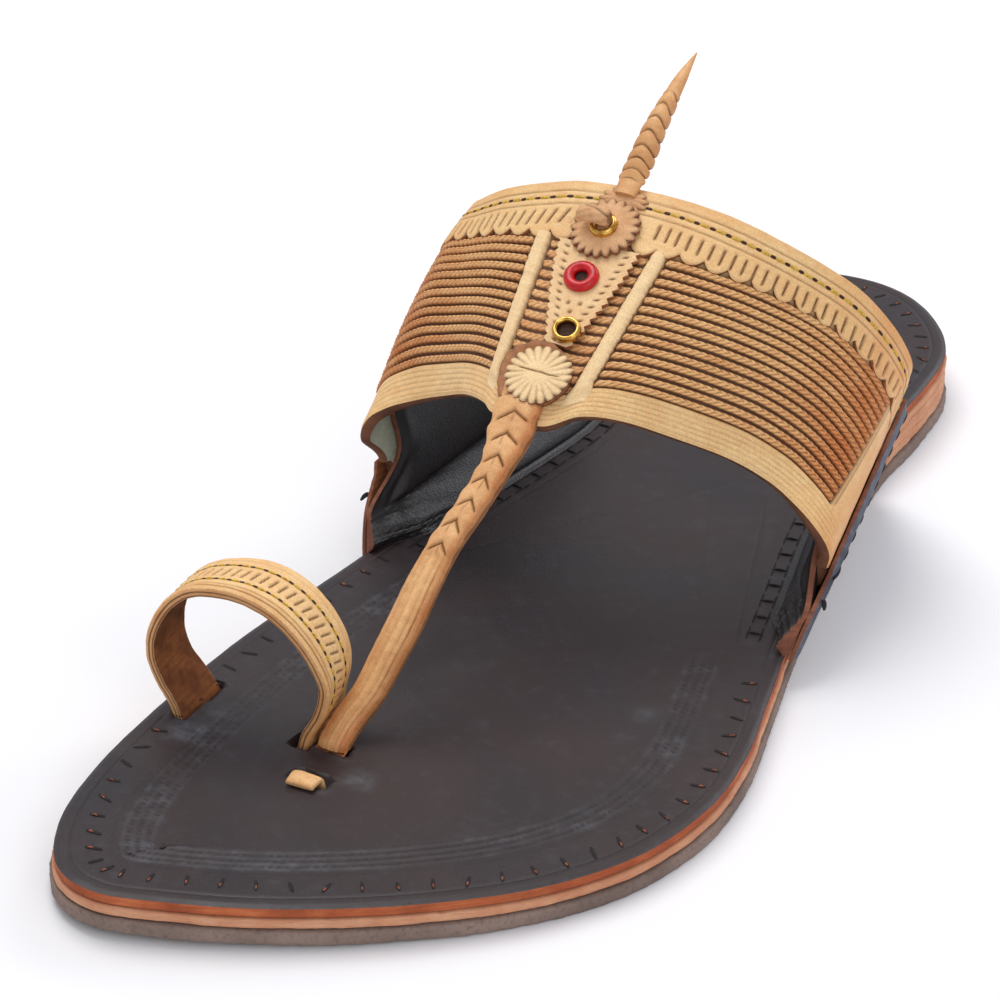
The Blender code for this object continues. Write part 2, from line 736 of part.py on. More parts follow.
def add_upper(material):
    skin = Skin()
    columns = band_columns()
    outer_rows = []
    for along, zone, ridge in band_rows():
        outer_rows.append([on_instep(around, along, relief(kind, zone, ridge))
                           for around, kind in columns])
    inner_rows = []
    for i in range(EAR_STATIONS):
        along = i / (EAR_STATIONS - 1)
        inner_rows.append([on_instep(around, along, -BAND_SHEET) for around, kind in columns])
    outer = skin.grid(outer_rows)
    inner = skin.grid(inner_rows)
    skin.strip(outer[-1], inner[-1])
    for end in (0, -1):
        skin.zip([row[end] for row in outer], [row[end] for row in inner])
    places = [around for around, kind in columns]
    first = places.index(STRAP_COLUMNS[0])
    last = places.index(STRAP_COLUMNS[-1])
    skin.strip(outer[0][:first + 1], inner[0][:first + 1])
    skin.strip(outer[0][last:], inner[0][last:])

    outer_strap, inner_strap = strap_sections()
    outer_index = [outer[0][first:last + 1]] + skin.grid(outer_strap)
    inner_index = [inner[0][first:last + 1]] + skin.grid(inner_strap)
    skin.strip(outer_index[0], outer_index[1])
    skin.strip(inner_index[0], inner_index[1])
    for end in (0, -1):
        skin.strip([row[end] for row in outer_index], [row[end] for row in inner_index])
    skin.strip(outer_index[-1], inner_index[-1])
    return add_part("upper", skin, on_instep(CENTRE, 0.0, 0.0), material)


# Toe loop and the strap's tail

def loop_front(x):
    """Where the toe loop's front edge lies along the sole at a place across it."""
    share = (x - LOOP_SLOT_MEDIAL) / (LOOP_SLOT_LATERAL - LOOP_SLOT_MEDIAL)
    return lerp(LOOP_FRONT_MEDIAL, LOOP_FRONT_LATERAL, share)


def add_toe_loop(material):
    """A short strap over the big toe, both ends let into slots in the insole."""
    half_width = BALL_WIDTH / 2
    lateral_x = LOOP_SLOT_LATERAL + LOOP_THICKNESS / 2
    medial_x = LOOP_SLOT_MEDIAL - LOOP_THICKNESS / 2
    floor = midsole_top(LOOP_FRONT_MEDIAL) + GAP
    slot_top = insole_top(LOOP_FRONT_MEDIAL) + GAP
    edges = [[(lateral_x, floor), (lateral_x, slot_top)] for side in ("front", "rear")]
    for front_across, front_up, rear_across, rear_up in TOE_LOOP:
        edges[0].append((front_across * half_width, front_up * LOOP_HEIGHT))
        edges[1].append((rear_across * half_width, rear_up * LOOP_HEIGHT))
    for edge in edges:
        edge += [(medial_x, slot_top), (medial_x, floor)]
    lines = []
    for edge, behind in zip(edges, (0.0, LOOP_WIDTH)):
        lines.append([Vector((x, loop_front(x) + behind, z)) for x, z in edge])
    front, rear = lines
    last = len(front) - 1
    skin = Skin()
    outer = []
    inner = []
    for i in range(2 * last + 1):
        place = i / 2
        outer_row = []
        inner_row = []
        for share in (0.0, 0.5, 1.0):
            low = max(place - 0.25, 0.0)
            high = min(place + 0.25, float(last))
            point = lerp(catmull(front, place), catmull(rear, place), share)
            way = lerp(catmull(front, high) - catmull(front, low),
                       catmull(rear, high) - catmull(rear, low), share)
            normal = Vector((0, 1, 0)).cross(way).normalized()
            if place <= 1:
                normal = Vector((1, 0, 0))
            if place >= last - 1:
                normal = Vector((-1, 0, 0))
            outer_row.append(point)
            inner_row.append(point - normal * LOOP_THICKNESS)
        outer.append(outer_row)
        inner.append(inner_row)
    outer = skin.grid(outer)
    inner = skin.grid(inner)
    for end in (0, -1):
        skin.strip(outer[end], inner[end])
        skin.strip([row[end] for row in outer], [row[end] for row in inner])
    return add_part("toe_loop", skin, front[0], material)


def add_strap_tail(material):
    """The end of the toe strap, which comes up through its own slot and lies forward."""
    slot_top = insole_top(TAIL_SLOT_Y)
    floor = midsole_top(TAIL_SLOT_Y) + GAP
    half = TAIL_THICKNESS / 2
    lying = slot_top + GAP + half
    line = (Vector((TAIL_X, TAIL_SLOT_Y, floor)),
            Vector((TAIL_X, TAIL_SLOT_Y, slot_top - half)),
            Vector((TAIL_X, TAIL_SLOT_Y - half, lying)),
            Vector((TAIL_X, TAIL_SLOT_Y - half * 2, lying + half / 2)),
            Vector((TAIL_X, TAIL_SLOT_Y - TAIL_LENGTH, lying)))
    skin = Skin()
    faces = [[], []]
    for i, point in enumerate(line):
        before = line[max(i - 1, 0)]
        after = line[min(i + 1, len(line) - 1)]
        normal = Vector((1, 0, 0)).cross(after - before).normalized()
        for side, rows in zip((1, -1), faces):
            centre = point + normal * half * side
            rows.append([centre + Vector((x * TAIL_WIDTH / 2, 0, 0)) for x in (-1, 1)])
    outer = skin.grid(faces[0])
    inner = skin.grid(faces[1])
    for end in (0, -1):
        skin.strip(outer[end], inner[end])
        skin.strip([row[end] for row in outer], [row[end] for row in inner])
    return add_part("strap_tail", skin, line[0], material)


# Trim on the centre line, laid on the band's own surface

def beside(around, along, across_by, along_by):
    """Place on the instep that lies some millimetres across and along from another."""
    step = 0.25
    across_rate = (instep(around + step, along) - instep(around - step, along)).length / 2
    along_rate = (instep(around, 1.0) - instep(around, 0.0)).length
    return around + across_by * step / across_rate, along + along_by / along_rate


def add_laid_piece(name, place, rim, low, high, material, rings=(1.0, 0.55)):
    """A flat leather piece on the instep between two lifts, with the given rim."""
    skin = Skin()
    sides = []
    for lift in (high, low):
        loops = []
        for share in rings:
            loops.append(skin.row([on_instep(*beside(*place, x * share, y * share), lift)
                                   for x, y in rim]))
        centre = skin.row([on_instep(*place, lift)])[0]
        for a, b in zip(loops[:-1], loops[1:]):
            skin.strip(a + a[:1], b + b[:1])
        inside = loops[-1]
        for i in range(len(inside)):
            skin.face(inside[i - 1], inside[i], centre)
        sides.append(loops[0])
    skin.strip(sides[0] + sides[0][:1], sides[1] + sides[1][:1])
    return add_part(name, skin, on_instep(*place, low), material)


def pinked_rim(radius_across, radius_along, teeth, depth):
    """A round rim with pinked teeth, two points a tooth."""
    rim = []
    for i in range(2 * teeth):
        angle = math.pi * i / teeth
        reach = 1.0 if i % 2 else 1.0 - depth
        rim.append((radius_across * reach * math.cos(angle),
                    radius_along * reach * math.sin(angle)))
    return rim


def panel_rim(length):
    """The centre panel's rim, whose front end lies a little to the lateral side."""
    right = []
    left = []
    for share, half in PANEL_WIDTHS:
        middle = PANEL_SKEW * (1 - share)
        right.append((middle + half * PANEL_HALF_WIDTH, (share - 0.5) * length))
        left.append((middle - half * PANEL_HALF_WIDTH, (share - 0.5) * length))
    return right + left[::-1]


def add_turned_piece(name, place, lift, profile, segments, material):
    """A turned metal piece that stands square on the instep. Profile: (radius, height)."""
    seat = on_instep(*place, lift)
    normal = instep_normal(*place)
    skin = Skin()
    loops = []
    for radius, height in profile:
        loops.append(skin.row([(radius * math.cos(2 * math.pi * i / segments),
                                radius * math.sin(2 * math.pi * i / segments), height)
                               for i in range(segments)]))
    for a, b in zip(loops, loops[1:] + loops[:1]):
        skin.strip(a + a[:1], b + b[:1])
    part = add_part(name, skin, Vector((0, 0, 0)), material)
    part.location = seat
    part.rotation_mode = "QUATERNION"
    part.rotation_quaternion = normal.to_track_quat("Z", "Y")
    return part


def eyelet_profile(radius):
    """A rolled ring around an open hole, counter-clockwise from the hole's foot."""
    hole = radius * EYELET_HOLE_SHARE
    middle = (radius + hole) / 2
    return ((hole, 0.0), (radius, 0.0), (radius, EYELET_HEIGHT * 0.5),
            (lerp(middle, radius, 0.6), EYELET_HEIGHT * 0.9), (middle, EYELET_HEIGHT),
            (lerp(middle, hole, 0.6), EYELET_HEIGHT * 0.85))


def add_knot(place, lift, material):
    """The rolled leather end that comes out of the stud and lies over its ring."""
    seat = on_instep(*place, lift + KNOT_RADIUS)
    normal = instep_normal(*place)
    across = (instep(place[0] + 0.3, place[1]) - instep(*place)).normalized()
    up = normal
    ahead = up.cross(across).normalized()
    skin = Skin()
    loops = []
    for share, size in ((-0.5, 0.75), (-0.42, 1.0), (0.38, 0.95), (0.5, 0.7)):
        centre = seat + across * KNOT_LENGTH * share
        loops.append(skin.row([centre + (ahead * math.cos(a) + up * math.sin(a) * 0.85)
                               * KNOT_RADIUS * size
                               for a in (2 * math.pi * i / 10 for i in range(10))]))
    for a, b in zip(loops[:-1], loops[1:]):
        skin.strip(a + a[:1], b + b[:1])
    skin.face(*loops[0])
    skin.face(*loops[-1])
    return add_part("knot", skin, seat, material)


def add_spike(material):
    """The braided tail that rises from the rear border and ends in a pointed leaf."""
    line = [scaled(*row[:3]) for row in SPIKE]
    widths = [Vector((row[3], row[4], 0)) for row in SPIKE]
    last = len(line) - 1
    places = [(0.0, 1.0), (0.5, 1.0)]
    for i in range(SPIKE_BRAIDS):
        start = 0.9 + i * 3.4 / SPIKE_BRAIDS
        places.append((start, 1.0))
        places.append((start + 0.7 * 3.4 / SPIKE_BRAIDS, 1.12))
        places.append((start + 0.92 * 3.4 / SPIKE_BRAIDS, 0.84))
    places += [(4.5, 0.9), (5.0, 1.0), (5.5, 1.0), (float(last), 1.0)]
    skin = Skin()
    loops = []
    for place, swell in places:
        centre = catmull(line, place)
        ahead = catmull(line, min(place + 0.1, last)) - catmull(line, max(place - 0.1, 0))
        ahead.normalize()
        sideways = (Vector((1, 0, 0)) - ahead * ahead.x).normalized()
        upwards = sideways.cross(ahead)
        size = catmull(widths, place) * SPIKE_RADIUS * swell
        loops.append(skin.row([centre + sideways * size.x * math.cos(a)
                               + upwards * size.y * math.sin(a)
                               for a in (2 * math.pi * i / 8 for i in range(8))]))
    for a, b in zip(loops[:-1], loops[1:]):
        skin.strip(a + a[:1], b + b[:1])
    skin.face(*loops[0])
    skin.face(*loops[-1])
    return add_part("spike", skin, line[0], material)


# Slots in the insole for the straps that pass through it

def cut_slots(insole):
    slots = [
        (TOE_STRAP[-1][0] * BALL_WIDTH / 2, STRAP_SLOT_Y,
         2 * TOE_STRAP[-1][3] * STRAP_ROOT_HALF, STRAP_THICKNESS),
        (TAIL_X, TAIL_SLOT_Y, TAIL_WIDTH, TAIL_THICKNESS),
    ]
    for x in (LOOP_SLOT_LATERAL, LOOP_SLOT_MEDIAL):
        slots.append((x, loop_front(x) + LOOP_WIDTH / 2, LOOP_THICKNESS, LOOP_WIDTH + SLOT_SLACK))
    for number, (x, y, width, depth) in enumerate(slots, start=1):
        mesh = bpy.data.meshes.new(f"slot_{number}")
        shape = bmesh.new()
        bmesh.ops.create_cube(shape, size=1.0)
        bmesh.ops.scale(shape, vec=(width + 2 * GAP, depth + 2 * GAP, SLOT_CUT_HEIGHT),
                        verts=shape.verts)
        shape.to_mesh(mesh)
        shape.free()
        cutter = bpy.data.objects.new(f"slot_{number}", mesh)
        cutter.location = (x, y, insole_bottom(y))
        cutter.parent = ROOT
        cutter.hide_render = True
        cutter.display_type = "WIRE"
        bpy.context.scene.collection.objects.link(cutter)
        cut = insole.modifiers.new(f"slot {number}", "BOOLEAN")
        cut.operation = "DIFFERENCE"
        cut.solver = "EXACT"
        cut.object = cutter


ROOT = bpy.data.objects.new("sandal", None)
bpy.context.scene.collection.objects.link(ROOT)

RUBBER = make_material("grey_brown_rubber", (0.13, 0.10, 0.085), 0.9)
SOLE_LEATHER = make_material("stacked_sole_leather", (0.42, 0.17, 0.08), 0.65)
DARK_LEATHER = make_material("dark_satin_leather", (0.035, 0.028, 0.030), 0.42)
EAR_LEATHER = make_material("blue_black_leather", (0.040, 0.042, 0.058), 0.5)
CREAM_LEATHER = make_material("cream_leather", (0.68, 0.46, 0.24), 0.55)
TAN_LEATHER = make_material("tan_leather", (0.50, 0.28, 0.13), 0.6)
RED_METAL = make_material("red_lacquer", (0.62, 0.02, 0.03), 0.25)
BRASS = make_material("brass", (0.78, 0.55, 0.20), 0.25, 1.0)

add_layer("outsole", OUTSOLE_OVERHANG, spring, outsole_top, RUBBER)
add_layer("midsole", MIDSOLE_OVERHANG, midsole_bottom, midsole_top, SOLE_LEATHER)
lift_start = HEEL_LIFT_START
while heel_rise(lift_start) < GAP + SKIVED_EDGE:
    lift_start += 0.5 * MM
add_layer("heel_lift", MIDSOLE_OVERHANG, lambda y: outsole_top(y) + GAP,
          lambda y: midsole_bottom(y) - GAP, SOLE_LEATHER, start=lift_start)
cut_slots(add_insole(DARK_LEATHER))
add_outer_ear("ear_medial", -1, EAR_LEATHER)
add_outer_ear("ear_lateral", 1, EAR_LEATHER)
add_upper(CREAM_LEATHER)
add_toe_loop(CREAM_LEATHER)
add_strap_tail(CREAM_LEATHER)

panel_low = INNER_BRAID_HEIGHT + GAP
panel_high = panel_low + PANEL_THICKNESS
band_length = (instep(CENTRE, 1.0) - instep(CENTRE, 0.0)).length
panel_place = (CENTRE, (PANEL_START + PANEL_END) / 2)
add_laid_piece("centre_panel", panel_place,
               panel_rim((PANEL_END - PANEL_START) * band_length),
               panel_low, panel_high, CREAM_LEATHER, rings=(1.0,))
rosette_low = panel_high + GAP
rosette_high = rosette_low + ROSETTE_THICKNESS
add_laid_piece("rosette_top", TOP_ROSETTE_PLACE,
               pinked_rim(ROSETTE_RADIUS, ROSETTE_RADIUS, ROSETTE_TEETH, 0.1),
               rosette_low, rosette_high, TAN_LEATHER)
leaf_low = BRAID_HEIGHT + GAP
leaf_high = leaf_low + LEAF_THICKNESS
add_laid_piece("leaf", LEAF_PLACE,
               pinked_rim(LEAF_RADIUS, LEAF_RADIUS, ROSETTE_TEETH // 2, 0.06),
               leaf_low, leaf_high, TAN_LEATHER)
add_laid_piece("rosette_front", LOW_ROSETTE_PLACE,
               pinked_rim(LOW_ROSETTE_RADIUS, LOW_ROSETTE_RADIUS, ROSETTE_TEETH, 0.1),
               leaf_high + GAP, leaf_high + GAP + ROSETTE_THICKNESS, CREAM_LEATHER)
add_turned_piece("eyelet_red", RED_EYELET_PLACE, panel_high + GAP,
                 eyelet_profile(RED_EYELET_RADIUS), 18, RED_METAL)
add_turned_piece("eyelet_brass", BRASS_EYELET_PLACE, panel_high + GAP,
                 eyelet_profile(BRASS_EYELET_RADIUS), 16, BRASS)
add_turned_piece("stud_ring", TOP_ROSETTE_PLACE, rosette_high + GAP,
                 eyelet_profile(STUD_RADIUS), 16, BRASS)
add_knot(beside(*TOP_ROSETTE_PLACE, -KNOT_OFFSET, 0.0),
         rosette_high + GAP + EYELET_HEIGHT + GAP, TAN_LEATHER)
add_spike(CREAM_LEATHER)
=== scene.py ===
# %% [markdown]
# # A kolhapuri sandal and its looks
# The sandal is hand-made of leather: stacked sole layers, a band of thin plaits over
# the instep, a strap that runs forward between the toes, a loop for the big toe and a
# braided tail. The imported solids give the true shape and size. Here each solid is
# dressed in a finer mesh that follows the same lines, with its relief and its finish.
# All shapes below are in millimetres, and are scaled to metres when a mesh is made.

# %% Load the frame
import math

import bmesh
import bpy
import numpy as np
from mathutils import Matrix, Vector


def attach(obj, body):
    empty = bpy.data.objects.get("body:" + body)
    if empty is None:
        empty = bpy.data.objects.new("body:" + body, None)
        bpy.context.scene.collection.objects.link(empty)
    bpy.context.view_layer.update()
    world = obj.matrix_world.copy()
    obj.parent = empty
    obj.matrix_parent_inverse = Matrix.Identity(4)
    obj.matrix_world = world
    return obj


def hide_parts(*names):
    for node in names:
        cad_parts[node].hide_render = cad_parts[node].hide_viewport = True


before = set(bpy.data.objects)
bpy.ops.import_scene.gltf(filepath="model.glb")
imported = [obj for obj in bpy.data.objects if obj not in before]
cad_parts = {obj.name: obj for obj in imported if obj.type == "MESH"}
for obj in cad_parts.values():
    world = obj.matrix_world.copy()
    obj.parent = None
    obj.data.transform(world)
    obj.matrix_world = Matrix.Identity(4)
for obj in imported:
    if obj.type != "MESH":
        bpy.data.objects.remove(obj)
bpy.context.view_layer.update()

MM = 0.001
print("solids:", sorted(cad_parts))

# %% [markdown]
# ## Camera
# The camera stands where the photographer stood, in front of the toes and a little to
# the lateral side, about 0.7 m away. Two unit vectors give the directions of the
# picture's right and of its foot, and the depth is square to both. That is exact, while
# an aim point and a roll angle would have to be found by trial.

# %% Camera
CAMERA_PLACE = (0.27909, -0.55736, 0.37143)
CAMERA_RIGHT = Vector((0.87332, 0.48670, 0.02113))
CAMERA_DOWN = Vector((0.25326, -0.41654, -0.87313))
CAMERA_LENS = 132.56
CAMERA_SENSOR = 36.0

camera_data = bpy.data.cameras.new("camera")
camera_data.lens = CAMERA_LENS
camera_data.sensor_width = CAMERA_SENSOR
camera = bpy.data.objects.new("camera", camera_data)
camera_depth = CAMERA_RIGHT.cross(CAMERA_DOWN)
turn = Matrix((CAMERA_RIGHT, -CAMERA_DOWN, -camera_depth)).transposed()
camera.matrix_world = Matrix.Translation(CAMERA_PLACE) @ turn.to_4x4()
bpy.context.scene.collection.objects.link(camera)
bpy.context.scene.camera = camera
print("camera looks along", [round(v, 3) for v in camera_depth])

# %% [markdown]
# ## Curves
# A shoemaker cuts to a few marked points and lets the leather run smoothly between
# them. A Catmull-Rom curve does the same: it passes through each point of a short
# table. NumPy works out thousands of points of it in one step, which a Blender curve
# object could only do after a conversion.

# %% Smooth curves
def smooth_curve(points, places):
    """Points of a smooth curve at places that are counted in points."""
    points = np.asarray(points, float)
    last = len(points) - 1
    places = np.clip(np.asarray(places, float), 0, last)
    index = np.minimum(places.astype(int), last - 1)
    t = (places - index)[..., None]
    padded = np.concatenate([2 * points[:1] - points[1:2], points,
                             2 * points[-1:] - points[-2:-1]])
    p0, p1, p2, p3 = (padded[index + k] for k in range(4))
    return 0.5 * (2 * p1 + (p2 - p0) * t + (2 * p0 - 5 * p1 + 4 * p2 - p3) * t ** 2
                  + (3 * p1 - p0 - 3 * p2 + p3) * t ** 3)


def step(start, end, value):
    """Rises smoothly from 0 at start to 1 at end."""
    t = np.clip((np.asarray(value, float) - start) / (end - start), 0, 1)
    return t * t * (3 - 2 * t)


def groove(distance, half_width):
    """1 in the middle of a groove and 0 outside it."""
    return 1 - step(0, 1, np.abs(distance) / half_width)


def off_beat(beat, pitch):
    """Millimetres to the nearest of many equal marks; beat counts the marks."""
    return (beat - np.round(beat)) * pitch


def unit(vectors):
    return vectors / np.maximum(np.linalg.norm(vectors, axis=-1, keepdims=True), 1e-9)


def circle(count):
    """Angles of points round a full turn."""
    return np.linspace(0, 2 * math.pi, count, endpoint=False)


def between(first, last, columns):
    """Rows of points that run straight from one line of points to another."""
    share = np.linspace(0, 1, columns)[None, :, None]
    return first[:, None] + (last - first)[:, None] * share


def even_places(points, spacing):
    """Places along a line of points, evenly spaced by length, and that length."""
    gaps = np.linalg.norm(np.diff(points, axis=0), axis=1)
    total = np.concatenate([[0], np.cumsum(gaps)])
    count = max(2, int(round(total[-1] / spacing)) + 1)
    places = np.interp(np.linspace(0, total[-1], count), total, np.arange(len(points)))
    return places, total[-1]


print("half way up a step:", float(step(0, 1, 0.5)))

# %% [markdown]
# ## Sole outline
# The three layers of the sole share one outline, as they are cut round the same
# pattern. It could be traced as a Bezier curve in the viewport. Here it is a table of
# shares of the length and of half the ball width, so that it is resized with them.

# %% Sole outline
LENGTH = 280.0
HALF_BALL = 51.0
INSTEP_HEIGHT = 81.0
GAP = 0.3
# (across, share of half the ball width; along, share of the length), toe tip first,
# along the lateral side to the heel and back along the medial side
OUTLINE = (
    (-0.471, -0.500), (-0.235, -0.487), (0.059, -0.461), (0.353, -0.425), (0.627, -0.382),
    (0.843, -0.336), (1.000, -0.279), (1.059, -0.214), (1.029, -0.154), (0.941, -0.089),
    (0.853, -0.029), (0.745, 0.050), (0.633, 0.129), (0.560, 0.200), (0.520, 0.271),
    (0.510, 0.346), (0.471, 0.404), (0.353, 0.448), (0.157, 0.484), (-0.059, 0.500),
    (-0.294, 0.496), (-0.510, 0.475), (-0.667, 0.436), (-0.755, 0.379), (-0.765, 0.321),
    (-0.735, 0.250), (-0.696, 0.193), (-0.725, 0.129), (-0.784, 0.050), (-0.853, -0.029),
    (-0.892, -0.100), (-0.941, -0.196), (-0.945, -0.286), (-0.912, -0.371), (-0.824, -0.439),
    (-0.667, -0.486),
)
HALF_STATIONS = 430
KNOT_STEPS = 12

knots = np.array(OUTLINE) * (HALF_BALL, LENGTH)
closed = np.concatenate([knots[-1:], knots, knots[:2]])
fine = smooth_curve(closed, 1 + np.arange(len(knots) * KNOT_STEPS) / KNOT_STEPS)
fine = np.roll(fine, -int(np.argmin(fine[:, 1])), axis=0)
heel_index = int(np.argmax(fine[:, 1]))
halves = (fine[:heel_index + 1], np.concatenate([fine[heel_index:], fine[:1]])[::-1])


def resample(line, count):
    places, _ = even_places(line, 0.5)
    total = np.linspace(0, len(places) - 1, count)
    return smooth_curve(line, np.interp(total, np.arange(len(places)), places))


lateral_half = resample(halves[0], HALF_STATIONS + 1)
medial_half = resample(halves[1], HALF_STATIONS + 1)
RING = np.concatenate([lateral_half, medial_half[-2:0:-1]])
ahead = unit(np.roll(RING, -1, axis=0) - np.roll(RING, 1, axis=0))
RING_OUT = np.stack([ahead[:, 1], -ahead[:, 0]], 1)
RING_RUN = np.concatenate([[0], np.cumsum(np.linalg.norm(np.diff(RING, axis=0), axis=1))])
PERIMETER = RING_RUN[-1] + np.linalg.norm(RING[0] - RING[-1])


def side_x(side, y):
    """How far across the outline lies at a place along it; side -1 is medial."""
    half = medial_half if side < 0 else lateral_half
    return np.interp(y, half[:, 1], half[:, 0])


print("the outline is", round(PERIMETER), "mm round")

# %% [markdown]
# ## Heights of the layers
# Rubber lies under two layers of leather, with wedges of leather under the heel. Each
# height is a function of the place along the shoe, so neighbours always meet.

# %% Heights of the layers
OUTSOLE_THICKNESS = 2.8
MIDSOLE_THICKNESS = 1.8
INSOLE_THICKNESS = 2.2
HEEL_LIFT_HEIGHT = 5.6
HEEL_LIFT_START = 0.214 * LENGTH
HEEL_LIFT_FULL = 0.329 * LENGTH
TOE_SPRING = 1.6
TOE_SPRING_START = -0.314 * LENGTH


def outsole_bottom(y):
    share = np.maximum(0, (TOE_SPRING_START - y) / (TOE_SPRING_START + LENGTH / 2))
    return TOE_SPRING * share ** 2


def outsole_top(y):
    return outsole_bottom(y) + OUTSOLE_THICKNESS


def midsole_bottom(y):
    return outsole_top(y) + GAP + HEEL_LIFT_HEIGHT * step(HEEL_LIFT_START, HEEL_LIFT_FULL, y)


def midsole_top(y):
    return midsole_bottom(y) + MIDSOLE_THICKNESS


def insole_bottom(y):
    return midsole_top(y) + GAP


def insole_top(y):
    return insole_bottom(y) + INSOLE_THICKNESS


print("the foot stands", round(float(insole_top(0)), 1), "mm above the floor,",
      round(float(insole_top(0.45 * LENGTH)), 1), "mm at the heel")

# %% [markdown]
# ## Instep surface
# Band and ears lie on one surface that turns over the foot. Rows of points from the
# medial to the lateral side give its front and its rear edge, and straight lines join
# the two with a slight bow. A subdivision surface could be pulled to the same shape by
# hand, but then the plaits and the stitches could not be laid out on it by distance.

# %% Instep surface
EAR_FRONT = {-1: -0.055 * LENGTH, 1: -0.0296 * LENGTH}
EAR_REAR = {-1: 0.2536 * LENGTH, 1: 0.25 * LENGTH}
# (front: across, along, up; rear: across, along, up; bow), shares of half the ball
# width, of the length and of the instep height
INSTEP = (
    (-0.918, -0.039, 0.154, -0.775, 0.239, 0.210, 0.00),
    (-0.957, -0.013, 0.257, -0.837, 0.204, 0.352, 0.02),
    (-1.006, -0.024, 0.327, -0.873, 0.186, 0.420, 0.06),
    (-0.980, -0.025, 0.389, -0.892, 0.168, 0.496, 0.10),
    (-0.902, -0.022, 0.432, -0.920, 0.132, 0.646, 0.12),
    (-0.765, -0.022, 0.477, -0.890, 0.098, 0.790, 0.10),
    (-0.608, -0.032, 0.531, -0.784, 0.084, 0.862, 0.06),
    (-0.461, -0.051, 0.589, -0.637, 0.075, 0.923, 0.03),
    (-0.329, -0.071, 0.625, -0.471, 0.073, 0.963, 0.01),
    (-0.245, -0.086, 0.637, -0.353, 0.076, 0.980, 0.00),
    (-0.137, -0.089, 0.642, -0.157, 0.077, 0.991, 0.00),
    (-0.024, -0.086, 0.636, 0.039, 0.076, 0.995, 0.00),
    (0.082, -0.070, 0.654, 0.157, 0.075, 0.993, 0.00),
    (0.206, -0.053, 0.636, 0.304, 0.076, 0.980, 0.00),
    (0.353, -0.029, 0.580, 0.471, 0.082, 0.942, 0.02),
    (0.520, -0.006, 0.519, 0.627, 0.096, 0.880, 0.03),
    (0.655, 0.006, 0.465, 0.746, 0.111, 0.809, 0.03),
    (0.755, 0.007, 0.428, 0.820, 0.137, 0.689, 0.03),
    (0.848, 0.008, 0.380, 0.838, 0.163, 0.568, 0.02),
    (0.906, 0.013, 0.316, 0.806, 0.180, 0.488, 0.00),
    (0.885, 0.022, 0.242, 0.745, 0.198, 0.401, 0.00),
    (0.875, -0.007, 0.158, 0.620, 0.229, 0.228, 0.00),
)
LAST_ROW = len(INSTEP) + 1
CENTRE = 11
BAND_END = 1.2
EAR_LINE = 2.0
SURFACE_DROP = 0.7
BAND_SHEET = 1.8
BOW_CENTRE = 0.3 * INSTEP_HEIGHT


def from_end(around):
    """How many rows of the instep lie between a row and the nearer sole edge."""
    return np.minimum(around, LAST_ROW - around)


def ear_base(side, share):
    """Points of the sole's edge where an ear turns up, from its front to its rear."""
    y = EAR_FRONT[side] + (EAR_REAR[side] - EAR_FRONT[side]) * np.asarray(share, float)
    return np.stack([side_x(side, y), y, insole_bottom(y)], -1)


shares = np.array(INSTEP)
SIZES = np.array((HALF_BALL, LENGTH, INSTEP_HEIGHT))
FRONT_LINE = np.concatenate([[ear_base(-1, 0)], shares[:, :3] * SIZES, [ear_base(1, 0)]])
REAR_LINE = np.concatenate([[ear_base(-1, 1)], shares[:, 3:6] * SIZES, [ear_base(1, 1)]])
BOWS = np.concatenate([[0], shares[:, 6] * HALF_BALL, [0]])[:, None]


def instep(around, along):
    """Points of the instep surface. around counts rows, along is a share of the width."""
    around, along = np.broadcast_arrays(np.asarray(around, float), np.asarray(along, float))
    front = smooth_curve(FRONT_LINE, around)
    rear = smooth_curve(REAR_LINE, around)
    t = along[..., None]
    point = front + (rear - front) * t
    rows_up = from_end(around)
    for side, on_side in ((-1, around < CENTRE), (1, around >= CENTRE)):
        low = (on_side & (rows_up < 1))[..., None]
        straight = ear_base(side, 0) + (ear_base(side, 1) - ear_base(side, 0)) * t
        bend = (ear_base(side, along) - straight) * (1 - np.minimum(rows_up, 1))[..., None]
        point = point + np.where(low, bend, 0)
    outwards = np.stack([point[..., 0], np.zeros_like(along), point[..., 2] - BOW_CENTRE], -1)
    bow = smooth_curve(BOWS, around) * (4 * along * (1 - along))[..., None]
    return point + unit(outwards) * bow


def width_at(around):
    """Distance in millimetres from the instep's front edge to its rear edge."""
    return np.linalg.norm(instep(around, 1.0) - instep(around, 0.0), axis=-1)


def instep_normal(around, along):
    around, along = np.broadcast_arrays(np.asarray(around, float), np.asarray(along, float))
    nudge = 0.02
    across_way = (instep(np.minimum(around + nudge, LAST_ROW), along)
                  - instep(np.maximum(around - nudge, 0), along))
    along_way = instep(around, along + nudge) - instep(around, along - nudge)
    return unit(np.cross(across_way, along_way))


def on_instep(around, along, lift):
    """Points over the band's plain sheet, whose outer face is at lift 0."""
    lift = np.broadcast_to(np.asarray(lift, float), np.broadcast(around, along).shape)
    return instep(around, along) + instep_normal(around, along) * (lift - SURFACE_DROP)[..., None]


def beside(place, across_by, along_by):
    """Place on the instep that lies some millimetres across and along from another."""
    around, along = place
    row_width = np.linalg.norm(instep(around + 0.25, along) - instep(around - 0.25, along)) / 0.5
    return around + across_by / row_width, along + along_by / width_at(around)


many_rows = np.linspace(0, LAST_ROW, 1200)
arc = np.linalg.norm(np.diff(instep(many_rows, 0.45), axis=0), axis=1)
ARC = np.concatenate([[0], np.cumsum(arc)])


def around_at(run):
    """Row of the instep at a distance in millimetres from the medial sole edge."""
    return np.interp(run, ARC, many_rows)


def run_at(around):
    return np.interp(around, many_rows, ARC)


def even_rows(start, end, spacing):
    """Rows from start to end, evenly spaced in millimetres."""
    first, last = run_at(start), run_at(end)
    return around_at(np.linspace(first, last, max(2, int((last - first) / spacing) + 1)))


